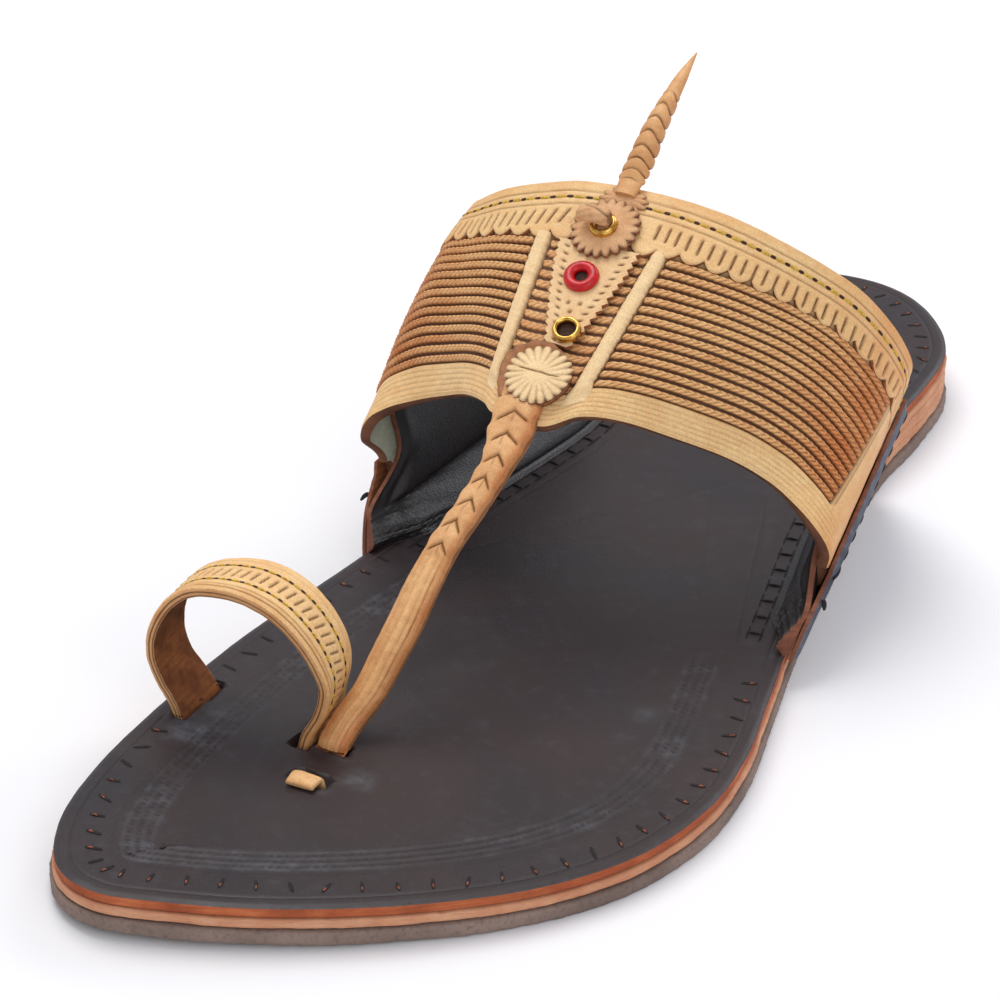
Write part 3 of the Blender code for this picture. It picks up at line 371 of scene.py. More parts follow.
print("the band is", round(run_at(LAST_ROW - BAND_END) - run_at(BAND_END)),
      "mm from end to end")

# %% [markdown]
# ## Making meshes
# Every leather piece here is a sheet: a face, a back and a cut edge. A small class
# collects grids of points with the faces between them. Two numbers are kept for each
# point as mesh attributes, dark and warm, which the materials read. Dark is mostly
# painted shade in grooves, gaps, slits and creases, with some dirt; warm tans the band
# deeper towards its ends, and on the black leather it lays grey glue smears, painted
# sheen and painted highlights. Painting them by hand in the viewport would give the
# same, but never twice alike.

# %% Mesh collector
class Sheets:
    """Collects grids of points, in millimetres, for one mesh."""

    def __init__(self):
        self.points = []
        self.faces = []
        self.slots = []
        self.dark = []
        self.warm = []
        self.count = 0

    def grid(self, points, slot=0, dark=0.0, warm=0.0, wrap=False):
        """Add rows of points and the quads between them; wrap joins each row's ends."""
        rows, columns = points.shape[:2]
        index = self.count + np.arange(rows * columns).reshape(rows, columns)
        if wrap:
            index = np.concatenate([index, index[:, :1]], 1)
        quads = np.stack([index[:-1, :-1], index[:-1, 1:], index[1:, 1:], index[1:, :-1]], -1)
        quads = quads.reshape(-1, 4)
        self.points.append(points.reshape(-1, 3))
        self.faces.append(quads)
        self.slots.append(np.full(len(quads), slot))
        self.dark.append(np.broadcast_to(dark, (rows, columns)).reshape(-1))
        self.warm.append(np.broadcast_to(warm, (rows, columns)).reshape(-1))
        self.count += rows * columns

    def leather(self, face, back, slots=(0, 1, 2), dark=0.0, warm=0.0, round_out=0.2):
        """A sheet between two grids of the same size, with a slightly rounded cut edge."""
        self.grid(face, slots[0], dark, warm)
        self.grid(back, slots[1])
        edge, inside = grid_rim(face)
        back_edge, _ = grid_rim(back)
        out = unit(edge - inside)
        thick = np.linalg.norm(edge - back_edge, axis=-1, keepdims=True)
        rows = [edge + (back_edge - edge) * t + out * thick * round_out * math.sin(math.pi * t)
                for t in (0.0, 0.15, 0.5, 0.85, 1.0)]
        self.grid(np.stack(rows), slots[2], wrap=True)

    def cap(self, ring, slot=0, dark=0.0, warm=0.0):
        """Close a ring of points with a fan round its middle."""
        tip = np.repeat(ring.mean(0)[None], len(ring), 0)
        self.grid(np.stack([tip, ring]), slot, dark, warm, wrap=True)

    def rod(self, rings, slot=0, dark=0.0, warm=0.0):
        """A closed body through rings of points, closed at both ends to a point."""
        ends = [np.repeat(ring.mean(0)[None], len(ring), 0) for ring in (rings[0], rings[-1])]
        self.grid(np.concatenate([ends[:1], rings, ends[1:]]), slot, dark, warm, wrap=True)

    def make(self, name, materials, replaces=(), sharp=38.0):
        """Make the object, give it its finishes, parent it to the root and hide the solids that it
        replaces.
        """
        mesh = bpy.data.meshes.new(name)
        points = np.concatenate(self.points) * MM
        mesh.from_pydata(points, [], np.concatenate(self.faces).tolist())
        mesh.polygons.foreach_set("material_index", np.concatenate(self.slots).astype(np.int32))
        for key, values in (("dark", self.dark), ("warm", self.warm)):
            layer = mesh.attributes.new(key, "FLOAT", "POINT")
            layer.data.foreach_set("value", np.concatenate(values).astype(np.float32))
        for material in materials:
            mesh.materials.append(material)
        welder = bmesh.new()
        welder.from_mesh(mesh)
        bmesh.ops.remove_doubles(welder, verts=welder.verts, dist=0.00001)
        bmesh.ops.dissolve_degenerate(welder, edges=welder.edges, dist=0.000005)
        bmesh.ops.recalc_face_normals(welder, faces=welder.faces)
        welder.to_mesh(mesh)
        welder.free()
        mesh.shade_smooth()
        mesh.set_sharp_from_angle(angle=math.radians(sharp))
        piece = bpy.data.objects.new(name, mesh)
        bpy.context.scene.collection.objects.link(piece)
        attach(piece, "root")
        if replaces:
            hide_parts(*replaces)
        print(name, "has", sum(len(p.vertices) - 2 for p in mesh.polygons), "triangles")


def grid_rim(grid):
    """The points round a grid's edge, and for each the next point inwards."""
    edge = [grid[0, :-1], grid[:-1, -1], grid[-1, :0:-1], grid[:0:-1, 0]]
    inside = [grid[1, :-1], grid[:-1, -2], grid[-2, :0:-1], grid[:0:-1, 1]]
    return np.concatenate(edge), np.concatenate(inside)


def ripple(seed, size, *coordinates):
    """Gentle unevenness between -1 and 1, the same on every run; size in millimetres."""
    dice = np.random.default_rng(seed)
    total = 0
    for octave in (1.0, 0.63, 0.41, 0.27):
        phase = dice.uniform(0, 2 * math.pi)
        angle = sum(c * dice.uniform(0.5, 1.3) * dice.choice((-1, 1)) for c in coordinates)
        total = total + np.sin(2 * math.pi * angle / (size * octave) + phase) * octave
    return total / 2.31


# %% [markdown]
# ## Finishes
# Leather is never one colour. Each finish is a Principled shader whose colour comes
# from a few noise textures, at the size of the real grain, and from the two mesh
# attributes. Photographs of leather could be used as image textures instead, but
# nodes stay sharp at any size and need no unwrapping.

# %% Node helper
def tint(red, green, blue):
    """A colour given in 0 to 255, as it is seen on a screen, for a shader."""
    values = [v / 255 for v in (red, green, blue)]
    return tuple(v / 12.92 if v <= 0.04045 else ((v + 0.055) / 1.055) ** 2.4 for v in values)


class Finish:
    """Builds one material, node by node."""

    def __init__(self, name, roughness=0.5, metallic=0.0, specular=0.5, sheen=0.0, coat=0.0):
        self.material = bpy.data.materials.new(name)
        self.material.use_nodes = True
        self.tree = self.material.node_tree
        self.shader = self.tree.nodes["Principled BSDF"]
        sockets = {"Roughness": roughness, "Metallic": metallic, "Specular IOR Level": specular,
                   "Sheen Weight": sheen, "Coat Weight": coat}
        for socket, value in sockets.items():
            self.shader.inputs[socket].default_value = value
        self.where = self.tree.nodes.new("ShaderNodeTexCoord").outputs["Object"]

    def put(self, socket, value):
        if isinstance(value, bpy.types.NodeSocket):
            self.tree.links.new(value, socket)
        elif isinstance(value, tuple):
            socket.default_value = (*value, 1.0)
        else:
            socket.default_value = value

    def noise(self, size, detail=3.0, stretch=(1, 1, 1), rough=0.5):
        """Cloudy noise whose blots are about size millimetres."""
        mapping = self.tree.nodes.new("ShaderNodeMapping")
        mapping.inputs["Scale"].default_value = stretch
        self.tree.links.new(self.where, mapping.inputs["Vector"])
        node = self.tree.nodes.new("ShaderNodeTexNoise")
        node.inputs["Scale"].default_value = 1 / (size * MM)
        node.inputs["Detail"].default_value = detail
        node.inputs["Roughness"].default_value = rough
        self.tree.links.new(mapping.outputs["Vector"], node.inputs["Vector"])
        return node.outputs[0]

    def cells(self, size):
        """Distance from the middle of small cells, as in the grain of leather."""
        node = self.tree.nodes.new("ShaderNodeTexVoronoi")
        node.inputs["Scale"].default_value = 1 / (size * MM)
        self.tree.links.new(self.where, node.inputs["Vector"])
        return node.outputs["Distance"]

    def kept(self, name):
        """A number kept on the mesh's points."""
        node = self.tree.nodes.new("ShaderNodeAttribute")
        node.attribute_name = name
        return node.outputs["Fac"]

    def spread(self, value, low, high, to_low=0.0, to_high=1.0):
        """Maps low to high onto another range."""
        node = self.tree.nodes.new("ShaderNodeMapRange")
        for socket, number in zip(node.inputs[1:5], (low, high, to_low, to_high)):
            socket.default_value = number
        self.put(node.inputs[0], value)
        return node.outputs[0]

    def sum(self, first, second, share):
        """first plus share times second."""
        node = self.tree.nodes.new("ShaderNodeMath")
        node.operation = "MULTIPLY_ADD"
        self.put(node.inputs[0], second)
        self.put(node.inputs[1], share)
        self.put(node.inputs[2], first)
        return node.outputs[0]

    def mix(self, share, first, second, way="MIX"):
        node = self.tree.nodes.new("ShaderNodeMix")
        node.data_type = "RGBA"
        node.blend_type = way
        self.put(node.inputs[0], share)
        self.put(node.inputs[6], first)
        self.put(node.inputs[7], second)
        return node.outputs[2]

    def colour(self, value):
        self.put(self.shader.inputs["Base Color"], value)

    def roughness(self, value):
        self.put(self.shader.inputs["Roughness"], value)

    def bump(self, height, depth, strength=1.0):
        """Fine relief; depth in millimetres."""
        node = self.tree.nodes.new("ShaderNodeBump")
        node.inputs["Strength"].default_value = strength
        node.inputs["Distance"].default_value = depth * MM
        self.put(node.inputs["Height"], height)
        self.put(self.shader.inputs["Normal"], node.outputs["Normal"])


def vegetable_leather(name, pale, deep, groove_tint, roughness=0.55, blot=9.0):
    """Undyed leather: pale, tanned deeper where warm is 1, and darker where dark is 1: painted
    shade in grooves and gaps, with some dirt.
    """
    finish = Finish(name, roughness, specular=0.35)
    grain = finish.noise(0.35, 2.0)
    blots = finish.noise(blot, 3.0)
    streaks = finish.noise(1.1, 3.0, stretch=(0.35, 1.0, 1.0))
    share = finish.sum(finish.kept("warm"), finish.spread(blots, 0.35, 0.7, -0.12, 0.16), 1.0)
    base = finish.mix(share, pale, deep)
    base = finish.mix(finish.spread(streaks, 0.3, 0.75, 0.0, 0.3), base, deep)
    base = finish.mix(finish.spread(grain, 0.35, 0.75, 0.0, 0.22), base, groove_tint)
    finish.colour(finish.mix(finish.kept("dark"), base, groove_tint))
    finish.roughness(finish.spread(blots, 0.3, 0.7, roughness - 0.08, roughness + 0.12))
    finish.bump(finish.sum(grain, finish.cells(0.8), 0.5), 0.05, 0.55)
    return finish.material


def dyed_leather(name, base, brown, smear_and_sheen, roughness=0.42, depth=0.06):
    """Black-brown dyed leather with a satin face; warm lays grey over it: dried glue, rubbing,
    painted sheen and painted highlights.
    """
    finish = Finish(name, roughness, specular=0.34)
    grain = finish.cells(0.55)
    fine_grain = finish.noise(0.3, 2.0)
    blots = finish.noise(22.0, 3.0)
    colour = finish.mix(finish.spread(blots, 0.35, 0.68), base, brown)
    # Grey mottle, partly wear and partly painted sheen; where warm is set, glue smears, painted
    # sheen and painted highlights.
    grey_sheen = finish.noise(3.0, 4.0)
    patches = finish.spread(grey_sheen, 0.35, 0.62, 0.25, 1.0)
    marks_and_sheen = finish.sum(finish.spread(grey_sheen, 0.55, 0.8, 0.0, 0.08), finish.kept("warm"), patches)
    colour = finish.mix(marks_and_sheen, colour, smear_and_sheen)
    # dark mixes in near black: painted shade in slots, dots, slits and creases.
    finish.colour(finish.mix(finish.kept("dark"), colour, tint(18, 15, 16)))
    finish.roughness(finish.spread(blots, 0.3, 0.7, roughness - 0.06, roughness + 0.1))
    finish.bump(finish.sum(fine_grain, grain, 0.6), depth, 0.5)
    return finish.material


def cut_edge(name, pale, deep, fibre, roughness=0.8):
    """The raw side of a cut hide: fibres and layers, darker in streaks."""
    finish = Finish(name, roughness, specular=0.2)
    fibres = finish.noise(0.5, 4.0, stretch=(0.25, 0.25, 1.6), rough=0.65)
    blots = finish.noise(7.0, 4.0)
    layers = finish.noise(0.9, 2.0, stretch=(0.08, 0.08, 1.5))
    colour = finish.mix(finish.spread(blots, 0.35, 0.65), pale, deep)
    colour = finish.mix(finish.spread(layers, 0.42, 0.62, 0.0, 0.55), colour, deep)
    colour = finish.mix(finish.spread(fibres, 0.55, 0.78, 0.0, 0.65), colour, fibre)
    finish.colour(finish.mix(finish.kept("dark"), colour, fibre))
    finish.bump(fibres, 0.25, 0.7)
    return finish.material


# The colour that dark mixes in: painted shade in grooves, gaps and slits, with some dirt.
GROOVE = tint(74, 34, 17)

band_leather = vegetable_leather("band_leather", tint(250, 212, 152), tint(220, 146, 80),
                                 GROOVE)
trim_leather = vegetable_leather("trim_leather", tint(252, 220, 168), tint(228, 170, 112),
                                 GROOVE, roughness=0.6, blot=3.0)
braid_leather = vegetable_leather("braid_leather", tint(252, 200, 136), tint(210, 118, 54),
                                  tint(78, 34, 16), roughness=0.5, blot=4.0)
strap_leather = vegetable_leather("strap_leather", tint(246, 196, 136), tint(192, 118, 64),
                                  tint(78, 38, 20), roughness=0.5, blot=6.0)
rosette_leather = vegetable_leather("rosette_leather", tint(240, 190, 138), tint(172, 112, 70),
                                    tint(84, 46, 30), roughness=0.62, blot=3.0)
insole_leather = dyed_leather("insole_leather", tint(42, 35, 38), tint(50, 36, 36),
                              tint(112, 118, 126))
ear_face_leather = dyed_leather("ear_face_leather", tint(62, 66, 84), tint(54, 56, 70),
                                tint(128, 132, 146), roughness=0.46, depth=0.12)
ear_lining_leather = dyed_leather("ear_lining_leather", tint(40, 38, 40), tint(46, 40, 40),
                                  tint(86, 86, 90), roughness=0.36, depth=0.14)
insole_edge = cut_edge("insole_edge", tint(196, 112, 70), tint(168, 84, 52), tint(116, 52, 34))
midsole_edge = cut_edge("midsole_edge", tint(218, 166, 132), tint(202, 140, 106),
                        tint(160, 96, 66))
tan_edge = cut_edge("tan_edge", tint(180, 120, 82), tint(142, 88, 60), tint(88, 50, 36))
band_edge = cut_edge("band_edge", tint(140, 92, 66), tint(104, 68, 52), tint(62, 40, 34))
suede = cut_edge("suede", tint(158, 98, 58), tint(118, 70, 42), tint(66, 38, 26),
                 roughness=0.95)
ear_edge = cut_edge("ear_edge", tint(152, 98, 74), tint(112, 68, 52), tint(62, 38, 32))
lining = cut_edge("lining", tint(168, 170, 152), tint(150, 150, 132), tint(118, 116, 100),
                  roughness=0.92)
print(len(bpy.data.materials), "finishes so far")

# %% Rubber, thread and metal
def rubber_finish():
    finish = Finish("rubber", 0.85, specular=0.25)
    specks = finish.noise(0.8, 3.0)
    clouds = finish.noise(14.0, 3.0)
    colour = finish.mix(finish.spread(clouds, 0.35, 0.65), tint(146, 126, 116),
                        tint(124, 106, 98))
    finish.colour(finish.mix(finish.spread(specks, 0.5, 0.75, 0.0, 0.5), colour,
                             tint(88, 72, 66)))
    finish.bump(specks, 0.15, 0.6)
    return finish.material


def thread_finish(name, pale, deep):
    """Twisted thread: light on the strands and dark between them."""
    finish = Finish(name, 0.7, specular=0.3)
    twist = finish.noise(0.45, 2.0, stretch=(1.0, 1.6, 2.2))
    finish.colour(finish.mix(finish.spread(twist, 0.38, 0.62), deep, pale))
    finish.bump(twist, 0.12, 0.8)
    return finish.material


def brass_finish():
    finish = Finish("brass", 0.24, metallic=1.0)
    tarnish = finish.noise(1.2, 3.0)
    colour = finish.mix(finish.spread(tarnish, 0.4, 0.7), tint(228, 186, 98),
                        tint(170, 120, 52))
    finish.colour(finish.mix(finish.kept("dark"), colour, tint(70, 40, 20)))
    finish.roughness(finish.spread(tarnish, 0.3, 0.7, 0.2, 0.38))
    finish.bump(finish.noise(0.5), 0.02, 0.4)
    return finish.material


def lacquer_finish():
    finish = Finish("red_lacquer", 0.32, specular=0.4, coat=0.15)
    wear = finish.noise(0.9, 3.0)
    colour = finish.mix(finish.spread(wear, 0.35, 0.7), tint(206, 8, 22), tint(168, 4, 14))
    finish.colour(finish.mix(finish.kept("dark"), colour, tint(60, 8, 12)))
    finish.bump(wear, 0.03, 0.5)
    return finish.material


rubber = rubber_finish()
yellow_thread = thread_finish("yellow_thread", tint(226, 196, 74), tint(176, 132, 40))
brown_thread = thread_finish("brown_thread", tint(170, 98, 66), tint(92, 48, 34))
black_thread = thread_finish("black_thread", tint(46, 42, 44), tint(20, 18, 20))
# Painted shade, brown like the thread inside: the finish of stitch holes and eyelet floors.
hole_shade = thread_finish("hole_shade", tint(74, 42, 28), tint(46, 27, 20))
# Painted shade: the near-black finish of the slits, which stand in for openings.
slit_shade = thread_finish("slit_shade", tint(30, 22, 21), tint(18, 13, 13))
brass = brass_finish()
lacquer = lacquer_finish()
print(len(bpy.data.materials), "finishes in all")

# %% [markdown]
# ## Rubber and stacked leather
# The lower layers show only their sides. Each is a ring of points round the outline,
# with corners rounded by a rasp and a side that is never quite even. A simple extrusion
# with a bevel would be too clean, so the side is pushed in and out by a small ripple.

# %% Sole layers
# (share of the thickness, inset) of the points down a layer's rasped side
RASPED_SIDE = ((0.0, 0.7), (0.04, 0.3), (0.16, 0.05), (0.4, 0.0), (0.65, 0.04), (0.86, 0.0),
               (0.96, 0.25), (1.0, 0.8))


def sole_ring(inset, height):
    """Points round the outline, moved in by inset, at a height that depends on y."""
    flat = RING - RING_OUT * np.broadcast_to(inset, len(RING))[:, None]
    return np.column_stack([flat, height(flat[:, 1])])


def plate(ring, columns):
    """A grid that fills a ring from its lateral to its medial half."""
    medial = np.concatenate([ring[:1], ring[:HALF_STATIONS - 1:-1]])
    return between(ring[:HALF_STATIONS + 1], medial, columns)


def add_sole_layer(name, overhang, bottom, top, edge_material, seed, uneven):
    """One layer under the insole, with a rasped side."""
    layer = Sheets()
    run = RING_RUN
    rings = []
    low = bottom(RING[:, 1])
    thick = top(RING[:, 1]) - low
    for share, inset in RASPED_SIDE:
        push = uneven * (ripple(seed, 23, run) + 0.6 * ripple(seed + 1, 5.5, run + share * 3)
                         + 0.3 * ripple(seed + 2, 1.9, run + share * 7))
        flat = RING - RING_OUT * (inset * 0.6 - overhang + push)[:, None]
        rings.append(np.column_stack([flat, low + thick * share]))
    layer.grid(np.stack(rings), wrap=True)
    for ring in (rings[0], rings[-1]):
        layer.grid(plate(ring, 10))
    layer.make(name, [edge_material], [name], sharp=60)


add_sole_layer("outsole", 0.8, outsole_bottom, outsole_top, rubber, 11,
               0.16)
add_sole_layer("midsole", 0.3, midsole_bottom, midsole_top, midsole_edge, 21,
               0.14)

# %% [markdown]
# The heel lift is a wedge: its front end is skived, or pared, to nothing. It is made
# of two leathers, so a fine dark line runs along its side.

# %% Heel lift
LIFT_START = 0.237 * LENGTH
LIFT_STATIONS = 150
# (share of the height, inset) of the points up its side, with the seam half way
LIFT_SIDE = ((0, 0.4), (0.08, 0.1), (0.3, 0), (0.46, 0.0), (0.5, 0.35), (0.54, 0.0),
             (0.75, 0.05), (0.92, 0.1), (1, 0.4))


def add_heel_lift():
    lift = Sheets()
    heel_end = float(RING[:, 1].max()) - 0.02
    left = (1 - np.linspace(0, 1, LIFT_STATIONS)) ** 1.5
    stations = heel_end - (heel_end - LIFT_START) * left
    low = outsole_top(stations) + GAP
    high = midsole_bottom(stations) - GAP
    sides = []
    for side in (1, -1):
        rows = []
        for share, inset in LIFT_SIDE:
            push = 0.14 * ripple(31 + side, 9, stations) + 0.08 * ripple(35, 2.1, stations + share)
            x = side_x(side, stations) + side * (0.3 - inset - push)
            rows.append(np.column_stack([x, stations, low + (high - low) * share]))
        sides.append(np.stack(rows))
        lift.grid(sides[-1])
    for end in (0, -1):
        lift.grid(between(sides[0][end], sides[1][end], 8))
        lift.grid(between(sides[0][:, end], sides[1][:, end], 8))
    lift.make("heel_lift", [midsole_edge], ["heel_lift"], sharp=60)


add_heel_lift()

# %% [markdown]
# ## Insole
# The top leather is dyed nearly black. The maker engraves a line a few millimetres
# from its edge, punches a band of small dots further in, and sews the layers together
# with short stitches that each sink into a slit. The rings of this mesh run parallel
# to the edge, close together where there is tooling, so the marks are real hollows. A
# bump map alone would look flat in a low view. The straps pass through slots, and grey
# glue is smeared round them.

# %% Tooling of the insole
STRAP_SLOT_Y = -0.2825 * LENGTH
TAIL_SLOT_Y = -0.322 * LENGTH
TAIL_X = -0.218 * HALF_BALL
LOOP_WIDTH = 12.8
LOOP_THICKNESS = 1.8
LOOP_FRONT_MEDIAL = -0.3021 * LENGTH
LOOP_FRONT_LATERAL = -0.2911 * LENGTH
LOOP_SLOT_MEDIAL = -0.8355 * HALF_BALL
LOOP_SLOT_LATERAL = -0.367 * HALF_BALL
ENGRAVED_INSET = 2.9
ENGRAVED_DEPTH = 0.1
DOT_DEPTH = 0.3
DASH_DEPTH = 0.22
SLOT_DEPTH = 1.5
DOTS_START = 11.0
DOTS_END = 18.0
DOT_SPACING = 1.75
STITCH_SPACING = 6.3
STITCH_LENGTH = 3.0


def loop_front(x):
    """Where the toe loop's front edge lies along the sole at a place across it."""
    share = (x - LOOP_SLOT_MEDIAL) / (LOOP_SLOT_LATERAL - LOOP_SLOT_MEDIAL)
    return LOOP_FRONT_MEDIAL + (LOOP_FRONT_LATERAL - LOOP_FRONT_MEDIAL) * share


# (start, end, strength) of the long lines that are scored over the insole
SCORED = (((34.4, -11.0), (14.0, 46.4), 0.6), ((23.7, -5.1), (0.9, 48.0), 0.2),
          ((-33.0, -13.0), (8.0, 52.0), 0.3))
# (across, along, half width, half depth) of each slot
SLOTS = (
    (-0.253 * HALF_BALL, STRAP_SLOT_Y - 0.3, 2.9, 1.0),
    (TAIL_X, TAIL_SLOT_Y, 3.3, 1.3),
    (LOOP_SLOT_LATERAL, loop_front(LOOP_SLOT_LATERAL) + LOOP_WIDTH / 2, 1.5,
     LOOP_WIDTH / 2 + 0.7),
    (LOOP_SLOT_MEDIAL, loop_front(LOOP_SLOT_MEDIAL) + LOOP_WIDTH / 2, 1.0,
     LOOP_WIDTH / 2 + 0.1),
)
# (across, along, reach, strength) of the grey smears of dried glue
SMEARS = (
    (-38.5, -88.0, 6.5, 0.8), (-3.5, -86.0, 5.0, 0.4), (-36.5, -80.0, 4.0, 0.3),
    (-17.0, -80.0, 4.0, 0.3), (31.0, -40.0, 5.0, 0.12),
)


def tooling(points, run, inset):
    """Height, dark and warm of the insole's tooled face."""
    x, y = points[..., 0], points[..., 1]
    height = 0.03 * ripple(41, 60, x, y) + 0.012 * ripple(42, 9, x, y)
    line = groove(inset - ENGRAVED_INSET, 0.45)
    second = groove(inset - DOTS_START + 0.7, 0.4) * 0.5
    height = height - ENGRAVED_DEPTH * line - 0.12 * second
    # Darker in the engraved lines: painted shade in the hollows, with some dirt.
    dark = np.maximum(0.2 * line, 0.25 * second)
    forefoot = step(-12, -22, y)
    heel = step(70, 84, y)
    row = (inset - DOTS_START) / DOT_SPACING
    in_band = step(DOTS_START - 0.3, DOTS_START + 0.4, inset)
    in_band = in_band * step(DOTS_END, DOTS_END - 0.8, inset)
    beside_dot = off_beat(run / DOT_SPACING + (np.round(row) % 2) * 0.5, DOT_SPACING)
    near = np.hypot(beside_dot, off_beat(row, DOT_SPACING))
    dots = groove(near, 0.75) * in_band * forefoot
    dashes = groove(beside_dot * 0.8, 0.5) * in_band * heel
    height = height - DOT_DEPTH * dots - DASH_DEPTH * dashes
    pattern = np.maximum(dots, 0.7 * dashes)
    # Darker in the punched dots and dashes: painted shade in the hollows.
    dark = np.maximum(dark, 0.6 * pattern)
    # Painted sheen: grey-blue over the dotted band, stronger at the toe, with painted highlights
    # (glints) in the forefoot and two painted sheen lines just past the dots at the toe.
    toe = step(-96, -118, y) * step(-36, -24, x)
    grey_sheen = in_band * (forefoot * (0.03 + 0.13 * toe) + heel * 0.04) * (1 - pattern)
    glints = np.clip(ripple(43, 31, x, y) + ripple(44, 7, x, y), 0, 1)
    warm = grey_sheen + 0.18 * glints * in_band * forefoot * (1 - pattern)
    for past_dots, half, share in ((0.9, 0.5, 0.5), (2.0, 0.3, 0.3)):
        warm = warm + share * toe * groove(inset - DOTS_END - past_dots, half)
    for (start_x, start_y), (end_x, end_y), drop in SCORED:
        reach = math.hypot(end_x - start_x, end_y - start_y)
        way = ((end_x - start_x) / reach, (end_y - start_y) / reach)
        off = (x - start_x) * way[1] - (y - start_y) * way[0]
        along = (x - start_x) * way[0] + (y - start_y) * way[1]
        scored = groove(off, 0.55) * step(0, 5, along) * step(reach, reach - 8, along)
        height = height - 0.3 * drop * scored
        # Darker in the scored lines: painted shade.
        dark = np.maximum(dark, drop * scored)
    for cx, cy, half_x, half_y in SLOTS:
        gap = np.hypot(np.maximum(np.abs(x - cx) - half_x, 0),
                       np.maximum(np.abs(y - cy) - half_y, 0))
        hole = 1 - step(0.0, 0.7, gap)
        height = height - SLOT_DEPTH * hole + 0.25 * groove(gap - 1.2, 1.2)
        # The slot is filled with painted shade.
        dark = np.maximum(dark, hole)
    for cx, cy, reach, strength in SMEARS:
        near = groove(np.hypot(x - cx, y - cy), reach)
        warm = np.maximum(warm, strength * near * (1 - dark))
    return height, dark, warm


# %% Insole sheet
RING_INSETS = np.concatenate([
    (0.0, 0.12, 0.35, 0.75, 1.3, 2.0), np.arange(2.4, 3.41, 0.17),
    (3.9, 4.6, 5.4, 6.3, 7.3, 8.3, 9.3), np.arange(9.8, DOTS_END + 0.5, 0.44)])
ROUNDED_EDGE = 0.35
MIDDLE_COLUMNS = 56
FAR_INSIDE = 60.0


def add_insole():
    sheet = Sheets()
    rings, darks, warms = [], [], []
    for inset in RING_INSETS:
        ring = sole_ring(inset + 0.05 * ripple(51, 17, RING_RUN), insole_top)
        rise, dark, warm = tooling(ring, RING_RUN, inset)
        ring[:, 2] += rise - ROUNDED_EDGE * (1 - step(0, 1.1, inset))
        rings.append(ring)
        darks.append(dark)
        # Painted sheen: a little grey along the rounded edge.
        warms.append(warm + 0.1 * (1 - step(0.1, 0.9, inset)))
    sheet.grid(np.stack(rings), 0, np.stack(darks), np.stack(warms), wrap=True)
    middle = plate(rings[-1], MIDDLE_COLUMNS)
    middle[..., 2] = insole_top(middle[..., 1])
    rise, dark, warm = tooling(middle, 0.0, np.full(middle.shape[:2], FAR_INSIDE))
    middle[..., 2] += rise
    sheet.grid(middle, 0, dark, warm)
    side = [rings[0]]
    for t, push in ((0.3, -0.05), (0.55, -0.02), (0.8, 0.0), (1.0, 0.25)):
        wobble = 0.14 * ripple(53, 3.3, RING_RUN + 5 * t) + 0.1 * ripple(54, 1.3, RING_RUN)
        ring = sole_ring(push + wobble * (1 - abs(2 * t - 1)), insole_bottom)
        top = rings[0][:, 2]
        ring[:, 2] = top + (ring[:, 2] - top) * t
        side.append(ring)
    darkness = 0.35 * np.clip(ripple(55, 26, RING_RUN) + 0.3, 0, 1)
    sheet.grid(np.stack(side), 1, darkness[None] * np.ones((5, 1)), wrap=True)
    sheet.grid(plate(side[-1], 10), 1)
    sheet.make("insole", [insole_leather, insole_edge], ["insole"],
               sharp=50)


add_insole()

# %% [markdown]
# ## Thread
# A stitch is a short length of twisted thread that rises from one hole and sinks into
# the next. Each is a thin tube, bowed upwards, and the slit it sinks into is a narrow
# leaf of painted shade just over the leather, in place of a dark opening. Many are
# made by one helper, in one mesh a row, because a separate object for each would be
# slow to handle.

# %% Thread helper
THREAD_SIDES = 6
THREAD_RINGS = 6


def add_stitches(sheet, starts, ends, ups, radius, rise):
    """Bowed tubes from starts to ends; ups point away from the leather."""
    angles = circle(THREAD_SIDES)
    for start, end, up in zip(starts, ends, ups):
        sideways = unit(np.cross(unit(end - start), up))
        section = np.outer(np.cos(angles), sideways) + np.outer(np.sin(angles), up)
        loops = []
        for t in np.linspace(0, 1, THREAD_RINGS):
            swell = 0.55 + 0.45 * math.sin(math.pi * t) ** 0.5
            centre = start + (end - start) * t + up * rise * (math.sin(math.pi * t) - 0.25)
            loops.append(centre + radius * swell * section)
        sheet.rod(np.stack(loops))


def add_slits(sheet, starts, ends, ups, half_width, lift):
    """Narrow leaves of painted shade, in place of openings, in the second finish, pointed at both
    ends, just over the leather.
    """
    for start, end, up in zip(starts, ends, ups):
        sideways = unit(np.cross(unit(end - start), up))
        rows = []
        for t in np.linspace(0, 1, 7):
            half = half_width * math.sin(math.pi * (0.04 + 0.92 * t)) ** 0.35
            centre = start + (end - start) * t + up * lift
            rows.append([centre - sideways * half, centre - up * 0.015, centre + sideways * half])
        sheet.grid(np.array(rows), 1)


def add_seam(sheet, points, normals, thread, hole):
    """A stitch from the first point to the second, and a hole from there to the third.

    thread is the thread's radius and rise, hole the opening's half width and lift.
    """
    add_stitches(sheet, points[:1], points[1:2], normals[:1], *thread)
    add_slits(sheet, points[1:2], points[2:3], normals[1:2], *hole)


# %% Stitches round the sole
UNSTITCHED = (-14, 66)
THREAD_SEEN = 0.75


def ring_y(run):
    """Place along the shoe of a distance round the outline."""
    return np.interp(run, RING_RUN, RING[:, 1])


def ring_point(run, inset):
    """A point on the insole's face at a distance round the outline and one inwards."""
    x = np.interp(run, RING_RUN, RING[:, 0]) - np.interp(run, RING_RUN, RING_OUT[:, 0]) * inset
    y = ring_y(run) - np.interp(run, RING_RUN, RING_OUT[:, 1]) * inset
    return np.stack([x, y, insole_top(y)], -1)


